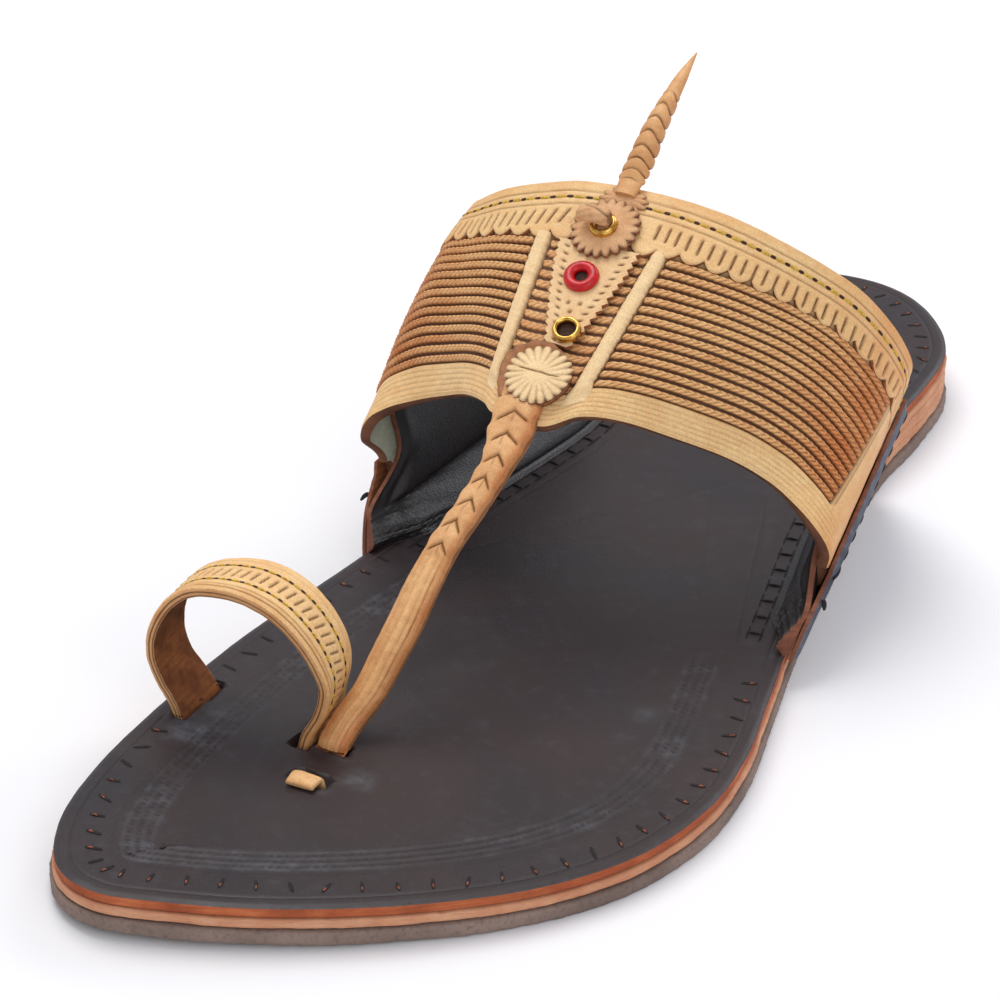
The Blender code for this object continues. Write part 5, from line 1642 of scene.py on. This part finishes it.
def add_knot():
    place = beside(TOP_PLACE, -KNOT_OFFSET, 0.3)
    lift = ROSETTE_HIGH + GAP + 1.1 + KNOT_RADIUS
    seat = on_instep(*place, lift)
    normal = instep_normal(*place)
    across = unit(instep(place[0] + 0.3, place[1]) - instep(*place))
    ahead_way = unit(np.cross(normal, across))
    angles = circle(40)
    round_way = (np.outer(np.cos(angles), ahead_way)
                 + np.outer(KNOT_FLATNESS * np.sin(angles), normal))
    rings, darks = [], []
    for t in np.linspace(-0.5, 0.5, 40):
        end = max(0.0, abs(t) - 0.42) / 0.08
        size = KNOT_RADIUS * (1 - 0.25 * end ** 2) * (1 + 0.05 * math.sin(9 * t))
        seam = np.exp(-((np.angle(np.exp(1j * (angles - 1.1 - 1.5 * t)))) / 0.16) ** 2)
        bend = -0.5 * (2 * t) ** 2
        crease = 0.05 * ripple(551, 0.9, angles * 0.25, t * 1.6)
        crease = crease + 0.03 * np.sin(7 * angles + 11 * t)
        r = size * (1 - 0.16 * seam) * (1 + crease)
        rings.append(seat + across * KNOT_LENGTH * t + normal * bend + r[:, None] * round_way)
        # Painted shade along the roll's seam, in the creases and on the sunken ends.
        darks.append(np.clip(0.7 * seam + 0.3 * end - 3.5 * crease, 0, 0.9))
    for t, size in ((0.501, 0.55), (0.49, 0.35)):
        rings.append(seat + across * KNOT_LENGTH * t - normal * 0.5
                     + KNOT_RADIUS * size * round_way)
        darks.append(np.full(40, 0.75))
    knot = Sheets()
    knot.rod(np.stack(rings), 0, np.concatenate([[darks[0]], darks, [darks[-1]]]), 0.25)
    knot.make("knot", [rosette_leather], ["knot"], sharp=60)


add_knot()

# %% [markdown]
# ## Toe strap
# The strap comes from under the lower rosette and runs forward to its slot. Its upper
# part is plaited of two strips that cross in chevrons, and its lower part is a single
# strip with its long edges folded under. It is one grid along the strap's line, with
# the chevrons as overlapping steps and the folds as long grooves.

# %% Toe strap
STRAP_ROOT_HALF = 5.6
STRAP_THICKNESS = 2.6
CHEVRONS = 7
BRAIDED_SHARE = 0.47
STRAP_STEPS = 600
STRAP_SPACING = 0.3
# (across, along, up, half width), shares as above and of the root's half width
TOE_STRAP = (
    (-0.118, -0.102, 0.625, 0.76), (-0.102, -0.125, 0.585, 0.54), (-0.116, -0.154, 0.523, 0.50),
    (-0.135, -0.179, 0.472, 0.51), (-0.149, -0.204, 0.405, 0.57), (-0.159, -0.224, 0.336, 0.60),
    (-0.184, -0.240, 0.264, 0.58), (-0.212, -0.254, 0.195, 0.55), (-0.253, -0.270, 0.137, 0.54),
)


def strap_line():
    """Centre line and half widths of the strap, from under the rosette to its slot."""
    root = [on_instep(CENTRE, 0.13, 1.35), on_instep(CENTRE, 0.035, 1.25)]
    middle = [np.array(row[:3]) * SIZES for row in TOE_STRAP]
    slot_x = TOE_STRAP[-1][0] * HALF_BALL
    foot = [np.array((slot_x, STRAP_SLOT_Y - 1.0, insole_top(STRAP_SLOT_Y) + 1.0)),
            np.array((slot_x, STRAP_SLOT_Y - 0.4, insole_bottom(STRAP_SLOT_Y)))]
    halves = [0.80, 0.80] + [row[3] for row in TOE_STRAP] + [0.53, 0.52]
    return np.array(root + middle + foot), np.array(halves)[:, None] * STRAP_ROOT_HALF


def add_toe_strap():
    """Chevrons on the upper part and folded edges on the lower one."""
    line, halves = strap_line()
    dense = smooth_curve(line, np.linspace(0, len(line) - 1, STRAP_STEPS))
    places, length = even_places(dense, STRAP_SPACING)
    places = places * (len(line) - 1) / (STRAP_STEPS - 1)
    centre = smooth_curve(line, places)
    half = smooth_curve(halves, places)[:, 0]
    ahead_way = unit(np.gradient(centre, axis=0))
    sideways = unit(np.array((1.0, 0, 0)) - ahead_way * ahead_way[:, :1])
    normal = np.cross(sideways, ahead_way)
    normal = normal * np.where(normal[:, 2:] < 0, -1, 1)
    run = np.linspace(0, length, len(centre))
    braid_end = BRAIDED_SHARE * length
    v = np.linspace(-1, 1, 41)[None]
    pitch = braid_end / (CHEVRONS + 0.6)
    phase = (run[:, None] - 3.0 * np.abs(v) ** 0.9 - 1.2) / pitch
    number = np.floor(phase)
    saw = phase - number
    braided = step(braid_end + 1.5, braid_end - 0.5, run)[:, None]
    left_right = np.where((number % 2 == 0) == (v > 0), 1.0, 0.55)
    gap = np.exp(-(np.minimum(saw, 1 - saw) * pitch / 0.36) ** 2)
    gap = gap * step(0.8, 0.55, np.abs(v)) * left_right
    seam = groove(v - 0.12 * np.sin(run / 3)[:, None], 0.09)
    seam = seam * step(0.0, 0.25, saw) * step(0.75, 0.4, saw)
    swell = 0.55 * np.sin(math.pi * np.clip(saw, 0, 1)) ** 0.6
    folds = (groove(v - 0.30, 0.10) * 0.5 + groove(v + 0.22, 0.08) * 0.35 + groove(v - 0.62, 0.08)
             + groove(v + 0.66, 0.07) * 0.4)
    folds = folds * (0.7 + 0.3 * ripple(601, 19, run)[:, None])
    crown = 0.75 * (1 - np.abs(v) ** 2.6)
    height = crown + braided * (swell * (1 - 0.4 * np.abs(v)) - 0.6 * gap - 0.2 * seam)
    height = height - (1 - braided) * 0.36 * folds + 0.06 * ripple(602, 4.5, run[:, None], v * 4)
    edge = 1 + braided * 0.05 * np.sin(2 * math.pi * phase) - 0.04 * step(0.9, 1.0, np.abs(v))
    face = (centre[:, None] + sideways[:, None] * (half[:, None] * v * edge)[..., None]
            + normal[:, None] * height[..., None])
    # Painted shade in the gaps between chevrons, along the middle seam and in the folds of the
    # lower part.
    dark = braided * (0.95 * gap + 0.4 * seam) + (1 - braided) * 0.5 * np.clip(folds, 0, 1)
    dark = dark + 0.3 * step(0.86, 1.0, v) * (0.6 + 0.5 * ripple(606, 6, run)[:, None])
    side_tone = 0.55 * step(0.45, 0.95, v) + 0.15 * step(0.75, 1.0, -v)
    base = step(0.75 * length, length, run)[:, None]
    pale_line = 0.3 * groove(v + 0.05, 0.22) * (1 - braided)
    warm = 0.28 + side_tone + 0.2 * base + 0.12 * ripple(603, 8, run)[:, None] - pale_line
    strap = Sheets()
    strap.grid(face, 0, np.clip(dark, 0, 0.95), np.clip(warm, 0, 1))
    back = (centre[:, None] + sideways[:, None] * (half[:, None] * v * 0.92)[..., None]
            - normal[:, None] * (STRAP_THICKNESS - 0.3 + 0.3 * (1 - v ** 2))[..., None])
    strap.grid(back, 1)
    for column, out in ((0, -1), (-1, 1)):
        rows = []
        for t in np.linspace(0, 1, 7):
            notch = 0.35 * math.exp(-((t - 0.55) / 0.1) ** 2) * (1 - 0.3 * ripple(604, 5, run))
            bulge = 0.35 * math.sin(math.pi * t)
            rows.append(face[:, column] * (1 - t) + back[:, column] * t
                        + sideways * (out * (bulge - notch))[:, None])
        shade = np.array([0.05, 0.15, 0.3, 0.85, 0.6, 0.35, 0.3])[:, None]
        strap.grid(np.stack(rows), 0, shade * (0.8 + 0.2 * ripple(605, 7, run)[None]), 0.75)
    for end in (0, -1):
        strap.grid(np.stack([face[end], back[end]]), 0, 0.5)
    strap.make("toe_strap", [strap_leather, suede], sharp=46)
    print("toe strap", round(float(length)), "mm long")


add_toe_strap()

# %% [markdown]
# ## Toe loop
# The loop for the big toe is two layers of leather, sewn along both edges with yellow
# thread, with slits between the seams and a rolled bead along the front. Inside it
# shows the brown flesh side of the hide. The grid runs round the loop and across it.

# %% Toe loop
LOOP_HEIGHT = 36.5
# (front edge: across, up; rear edge: across, up), lateral end first, shares of half the
# ball width and of the loop's height
TOE_LOOP = (
    (-0.331, 0.244, -0.345, 0.244), (-0.306, 0.312, -0.333, 0.312), (-0.278, 0.403, -0.320, 0.408),
    (-0.263, 0.540, -0.306, 0.518), (-0.296, 0.663, -0.314, 0.641), (-0.351, 0.778, -0.357, 0.773),
    (-0.427, 0.882, -0.435, 0.899), (-0.516, 0.953, -0.541, 0.981), (-0.637, 0.989, -0.657, 1.000),
    (-0.786, 0.959, -0.804, 0.953), (-0.886, 0.849, -0.910, 0.849), (-0.953, 0.671, -0.980, 0.699),
    (-0.963, 0.507, -0.998, 0.521), (-0.925, 0.362, -0.969, 0.373), (-0.880, 0.258, -0.902, 0.252),
)
LOOP_SEAMS = (4.0, 9.4)
LOOP_SLITS = (5.2, 8.3)
LOOP_SLIT_PITCH = 1.9
LOOP_STEPS = 500
LOOP_SPACING = 0.26
# (share of the thickness, push, dark) down the loop's edge, where two layers meet
LOOP_EDGE = ((0, 0, 0.1), (0.12, 0.16, 0.0), (0.3, 0.2, 0.1), (0.42, 0.02, 0.9),
             (0.54, 0.2, 0.1), (0.72, 0.24, 0.2), (0.84, 0.06, 0.9), (0.93, 0.12, 0.3),
             (1, 0, 0.3))


def loop_lines():
    """The loop's front and rear edges, from the lateral to the medial slot."""
    floor = midsole_top(LOOP_FRONT_MEDIAL) + GAP + 0.2
    lines = []
    for columns, behind in (((0, 1), 0.0), ((2, 3), LOOP_WIDTH)):
        edge = [(LOOP_SLOT_LATERAL + LOOP_THICKNESS / 2, floor)]
        edge += [(row[columns[0]] * HALF_BALL, row[columns[1]] * LOOP_HEIGHT) for row in TOE_LOOP]
        edge += [(LOOP_SLOT_MEDIAL - LOOP_THICKNESS / 2, floor)]
        lines.append(np.array([(x, loop_front(x) + behind, z) for x, z in edge]))
    return lines


loop_front_line, loop_rear_line = loop_lines()
AHEAD = np.array((0.0, 1.0, 0.0))


def on_loop(places, share):
    """Points of the loop's outer face, share of the way from its front to its rear."""
    front = smooth_curve(loop_front_line, places)
    return front + (smooth_curve(loop_rear_line, places) - front) * share


def loop_places(spacing):
    last = len(loop_front_line) - 1
    middle = (loop_front_line + loop_rear_line) / 2
    dense = smooth_curve(middle, np.linspace(0, last, LOOP_STEPS))
    places, length = even_places(dense, spacing)
    return places * last / (LOOP_STEPS - 1), length


def add_toe_loop():
    """The loop: a face with beads, seams and slits, a brown inside and a layered edge."""
    places, length = loop_places(LOOP_SPACING)
    share = np.concatenate([np.linspace(0, 0.16, 12), np.linspace(0.18, 0.97, 46),
                            (0.985, 1.0)])
    face = on_loop(places[:, None], share[None, :, None])
    normal = unit(np.cross(AHEAD, np.gradient(face, axis=0)))
    run = np.linspace(0, length, len(places))[:, None]
    across = share[None] * LOOP_WIDTH
    bead = groove(across - 0.62, 0.62) + 0.8 * groove(across - 1.75, 0.5)
    bead_gap = groove(across - 1.27, 0.22) + groove(across - 2.35, 0.25)
    seams = sum(groove(across - line, 0.5) for line in LOOP_SEAMS)
    in_slit = step(LOOP_SLITS[0] - 0.2, LOOP_SLITS[0] + 0.5, across)
    in_slit = in_slit * step(LOOP_SLITS[1] + 0.2, LOOP_SLITS[1] - 0.5, across)
    beat = (run + 0.25 * across) / LOOP_SLIT_PITCH
    slits = groove(off_beat(beat, LOOP_SLIT_PITCH), 0.4) * in_slit
    rear_line = groove(across - 11.2, 0.3)
    height = 0.25 * bead - 0.3 * bead_gap - 0.15 * seams - 0.42 * slits - 0.1 * rear_line
    height = height - 0.25 * step(LOOP_WIDTH - 0.6, LOOP_WIDTH, across)
    height = height + 0.04 * ripple(701, 6, run, across)
    # Painted shade in the gaps beside the bead, in the seams, the slits and the rear line.
    dark = np.clip(0.75 * bead_gap + 0.15 * seams + 0.85 * slits + 0.2 * rear_line, 0, 0.9)
    ends = step(14, 2, run) + step(length - 16, length - 3, run)
    warm = 0.14 + 0.5 * ends + 0.25 * bead
    loop = Sheets()
    outer = face + normal * height[..., None]
    inner = face - normal * (LOOP_THICKNESS + 0.05 * ripple(702, 3, run, across))[..., None]
    stain = 0.5 * np.clip(ripple(703, 9, run, across), 0, 1)
    loop.grid(outer, 0, dark, np.clip(warm, 0, 1))
    loop.grid(inner, 1, stain)
    edge, inside = grid_rim(outer)
    back_edge, _ = grid_rim(inner)
    out = unit(edge - inside)
    rows = [edge + (back_edge - edge) * t + out * push for t, push, _ in LOOP_EDGE]
    shades = np.array([shade for _, _, shade in LOOP_EDGE])
    loop.grid(np.stack(rows), 2, shades[:, None], 0.4, wrap=True)
    loop.make("toe_loop", [band_leather, suede, strap_leather], ["toe_loop"],
              sharp=44)
    print("toe loop", round(float(length)), "mm round")


LOOP_STITCH_PITCH = 2.6
LOOP_STITCH_LENGTH = 1.6


def add_loop_stitches():
    stitches = Sheets()
    places, length = loop_places(0.5)
    runs = np.linspace(0, length, len(places))
    count = int((length - 14) / LOOP_STITCH_PITCH)
    for seam, first_run in zip(LOOP_SEAMS, (8.0, 8.6)):
        for run in first_run + np.arange(count) * LOOP_STITCH_PITCH:
            triple = np.array((run, run + LOOP_STITCH_LENGTH, run + LOOP_STITCH_PITCH))
            triple = np.interp(triple, runs, places)
            way = on_loop(triple + 0.1, 0) - on_loop(triple - 0.1, 0)
            normal = unit(np.cross(AHEAD, way))
            points = on_loop(triple, seam / LOOP_WIDTH) - normal * 0.08
            add_seam(stitches, points, normal, (0.2, 0.14), (0.28, 0.09))
    stitches.make("loop_stitches", [yellow_thread, hole_shade])


add_toe_loop()
add_loop_stitches()

# %% [markdown]
# ## Tail of the strap
# Under the insole the strap turns forward, and its end comes up again through a small
# slot and lies on the leather as a short tab.

# %% Strap tail
TAIL_WIDTH = 5.6
TAIL_THICKNESS = 1.3
TAIL_LENGTH = 4.0


def add_tail():
    top = float(insole_top(TAIL_SLOT_Y))
    half = TAIL_THICKNESS / 2
    line = np.array(((TAIL_X, TAIL_SLOT_Y + 0.2, top - 1.4), (TAIL_X, TAIL_SLOT_Y, top - half),
                     (TAIL_X, TAIL_SLOT_Y - half, top + half + 0.1),
                     (TAIL_X, TAIL_SLOT_Y - 1.7, top + half + 0.55),
                     (TAIL_X, TAIL_SLOT_Y - TAIL_LENGTH, top + half + 0.15)))
    places = np.linspace(0, 4, 40)
    centre = smooth_curve(line, places)
    way = unit(np.gradient(centre, axis=0))
    normal = unit(np.cross(np.array((1.0, 0, 0)), way)) * -1
    v = np.linspace(-1, 1, 25)[None]
    width = TAIL_WIDTH / 2 * (1 - 0.06 * step(3, 4, places))[:, None]
    skew = 0.5 * step(3.2, 4.0, places)[:, None] * v
    rounded = half * (1 - 0.35 * np.abs(v) ** 5)
    rounded = rounded * np.sqrt(np.clip(1 - step(3.7, 4.05, places) ** 2 * 0.6, 0, 1))[:, None]
    base = centre[:, None] + np.array((1.0, 0, 0)) * (width * v)[..., None]
    base[..., 1] += 0.35 * skew
    tail = Sheets()
    crinkled = rounded + 0.04 * ripple(801, 3, places[:, None] * 2, v * 3)
    tail.leather(base + normal[:, None] * crinkled[..., None],
                 base - normal[:, None] * rounded[..., None], slots=(0, 0, 0),
                 dark=0.1 * (np.abs(v) > 0.9), warm=0.1)
    tail.make("strap_tail", [strap_leather], ["strap_tail"], sharp=50)


add_tail()

# %% [markdown]
# ## Rising tail
# Behind the top rosette the plaited laces are gathered into a tail that stands up and
# ends in a smooth pointed leaf. Rings of points follow its line. On the plaited part
# the rings swell and pinch in chevrons that point to the tip.

# %% Rising tail
SPIKE_RADIUS = 2.5
# (across, along, up, width, height)
SPIKE = (
    (-0.145, 0.065, 0.993, 0.85, 0.36), (-0.145, 0.076, 1.020, 1.00, 0.40),
    (-0.141, 0.088, 1.056, 0.96, 0.78), (-0.137, 0.103, 1.109, 0.84, 0.80),
    (-0.131, 0.120, 1.157, 0.68, 0.64), (-0.127, 0.138, 1.201, 0.52, 0.36),
    (-0.116, 0.157, 1.246, 0.06, 0.06),
)
SPIKE_CHEVRONS = 7


def add_spike():
    """Rings along the tail's line, pinched in chevrons, flat and ribbed at the leaf."""
    line = np.array([np.array(row[:3]) * SIZES for row in SPIKE])
    size = np.array([row[3:] for row in SPIKE]) * SPIKE_RADIUS
    places = np.linspace(0, len(SPIKE) - 1, 260)
    centre = smooth_curve(line, places)
    radii = np.maximum(smooth_curve(size, places), 0.05)
    ahead_way = unit(np.gradient(centre, axis=0))
    sideways = unit(np.array((1.0, 0, 0)) - ahead_way * ahead_way[:, :1])
    upwards = np.cross(sideways, ahead_way)
    angles = circle(56)[None]
    braided = (step(0.75, 0.95, places) * step(4.45, 4.25, places))[:, None]
    phase = (places[:, None] - 0.9) * SPIKE_CHEVRONS / 3.5 + 0.5 * np.cos(angles) ** 2
    saw = phase - np.floor(phase)
    gap = np.exp(-(np.minimum(saw, 1 - saw) / 0.085) ** 2)
    swell = 1 + braided * (0.14 * np.sin(math.pi * saw) ** 0.6 - 0.12 * gap)
    leaf = step(4.4, 4.9, places)[:, None]
    from_below = np.angle(np.exp(1j * (angles + math.pi / 2)))
    rib = 1 - 0.16 * leaf * np.exp(-(from_below / 0.3) ** 2)
    wide = radii[:, :1] * np.cos(angles) * swell
    tall = radii[:, 1:] * np.sin(angles) * swell * rib
    rings = (centre[:, None] + sideways[:, None] * wide[..., None]
             + upwards[:, None] * tall[..., None])
    # Painted shade in the gaps between the chevrons.
    dark = np.clip(braided * 0.85 * gap * (0.6 + 0.4 * np.sin(places * 9)[:, None] ** 2), 0, 0.9)
    warm = 0.3 + 0.25 * np.cos(angles) ** 2 + 0.1 * ripple(901, 1.1, places)[:, None]
    spike = Sheets()
    spike.rod(rings, 0, *(np.concatenate([tone[:1], tone, tone[-1:]]) for tone in (dark, warm)))
    spike.make("spike", [strap_leather], ["spike"], sharp=60)


add_spike()

# %% Pinked collar at the tail's foot
COLLAR_RADIUS = 5.2
COLLAR_OVAL = 0.62
COLLAR_TEETH = 13


def add_collar():
    """A small pinked piece that holds the foot of the rising tail."""
    angles = circle(130)
    tooth = 1 - 0.13 * (1 - np.abs(np.sin(angles * COLLAR_TEETH / 2)))
    radii = np.array((0.03, 0.3, 0.6, 0.85, 0.96, 1.0))[:, None]
    reach = COLLAR_RADIUS * radii * (tooth ** (radii * 2))
    x, y = reach * np.cos(angles), COLLAR_OVAL * reach * np.sin(angles)
    around, along = beside((CENTRE + 0.05, 0.935), x, y)
    along = np.minimum(along, 1.0)
    height = 1.75 + 0.7 * (1 - radii ** 2) + 0.06 * ripple(951, 2.5, x)
    collar = Sheets()
    face = on_instep(around, along, height)
    back = on_instep(around, along, 1.3)
    collar.grid(face, 0, 0.4 * step(0.9, 1.0, radii), 0.3, wrap=True)
    collar.grid(back, 0, 0.4, wrap=True)
    collar.grid(np.stack([face[-1], back[-1]]), 0, 0.7, wrap=True)
    collar.cap(face[0], 0, 0.0, 0.3)
    collar.make("tail_collar", [rosette_leather], sharp=46)


add_collar()

# %% [markdown]
# ## Floor and light
# The sandal stands on a pale studio floor that curves up behind it. Large soft lights
# from above and behind give the satin leather its sheen, and a weak one in front opens
# the shadow under the band. The world is pale, so that even the deep parts get light.

# %% Floor
CURVE_START = 1.6
CURVE_RADIUS = 0.9


def add_floor():
    """A floor in metres whose rear bends up into a wall."""
    profile = [(-4.0, 0.0), (CURVE_START, 0.0)]
    for angle in np.linspace(0, math.pi / 2, 16):
        profile.append((CURVE_START + CURVE_RADIUS * math.sin(angle),
                        CURVE_RADIUS - CURVE_RADIUS * math.cos(angle)))
    profile.append((CURVE_START + CURVE_RADIUS, 4.0))
    mesh = bpy.data.meshes.new("floor")
    points = [(x, y, z) for y, z in profile for x in (-6.0, 6.0)]
    faces = [(2 * i, 2 * i + 1, 2 * i + 3, 2 * i + 2) for i in range(len(profile) - 1)]
    mesh.from_pydata(points, [], faces)
    mesh.shade_smooth()
    finish = Finish("floor", 0.6, specular=0.2)
    finish.colour(finish.mix(finish.spread(finish.noise(180.0), 0.3, 0.7),
                             (0.90, 0.90, 0.92), (0.87, 0.87, 0.89)))
    mesh.materials.append(finish.material)
    floor = bpy.data.objects.new("floor", mesh)
    bpy.context.scene.collection.objects.link(floor)


add_floor()

# %% Lights
def add_light(name, place, aim, size, power, colour):
    """A round soft light; place, aim and size in metres, power in watts."""
    lamp = bpy.data.lights.new(name, "AREA")
    lamp.shape = "DISK"
    lamp.size = size
    lamp.energy = power
    lamp.color = colour
    light = bpy.data.objects.new(name, lamp)
    light.location = place
    light.rotation_euler = (Vector(aim) - Vector(place)).to_track_quat("-Z", "Y").to_euler()
    bpy.context.scene.collection.objects.link(light)


add_light("key", (-0.45, 0.25, 1.25), (0, 0, 0.02), 0.9, 9.5, (1.0, 0.985, 0.96))
add_light("rim", (0.35, 1.3, 0.85), (0, 0, 0.03), 0.9, 7.0, (0.93, 0.96, 1.0))
add_light("fill", (0.9, -0.9, 0.8), (0, 0, 0.02), 1.1, 4.0, (1.0, 0.99, 0.97))
world = bpy.data.worlds.new("studio")
world.use_nodes = True
background = world.node_tree.nodes["Background"]
background.inputs["Color"].default_value = (0.93, 0.95, 1.0, 1.0)
background.inputs["Strength"].default_value = 0.6
bpy.context.scene.world = world
bpy.context.scene.view_settings.view_transform = "Standard"
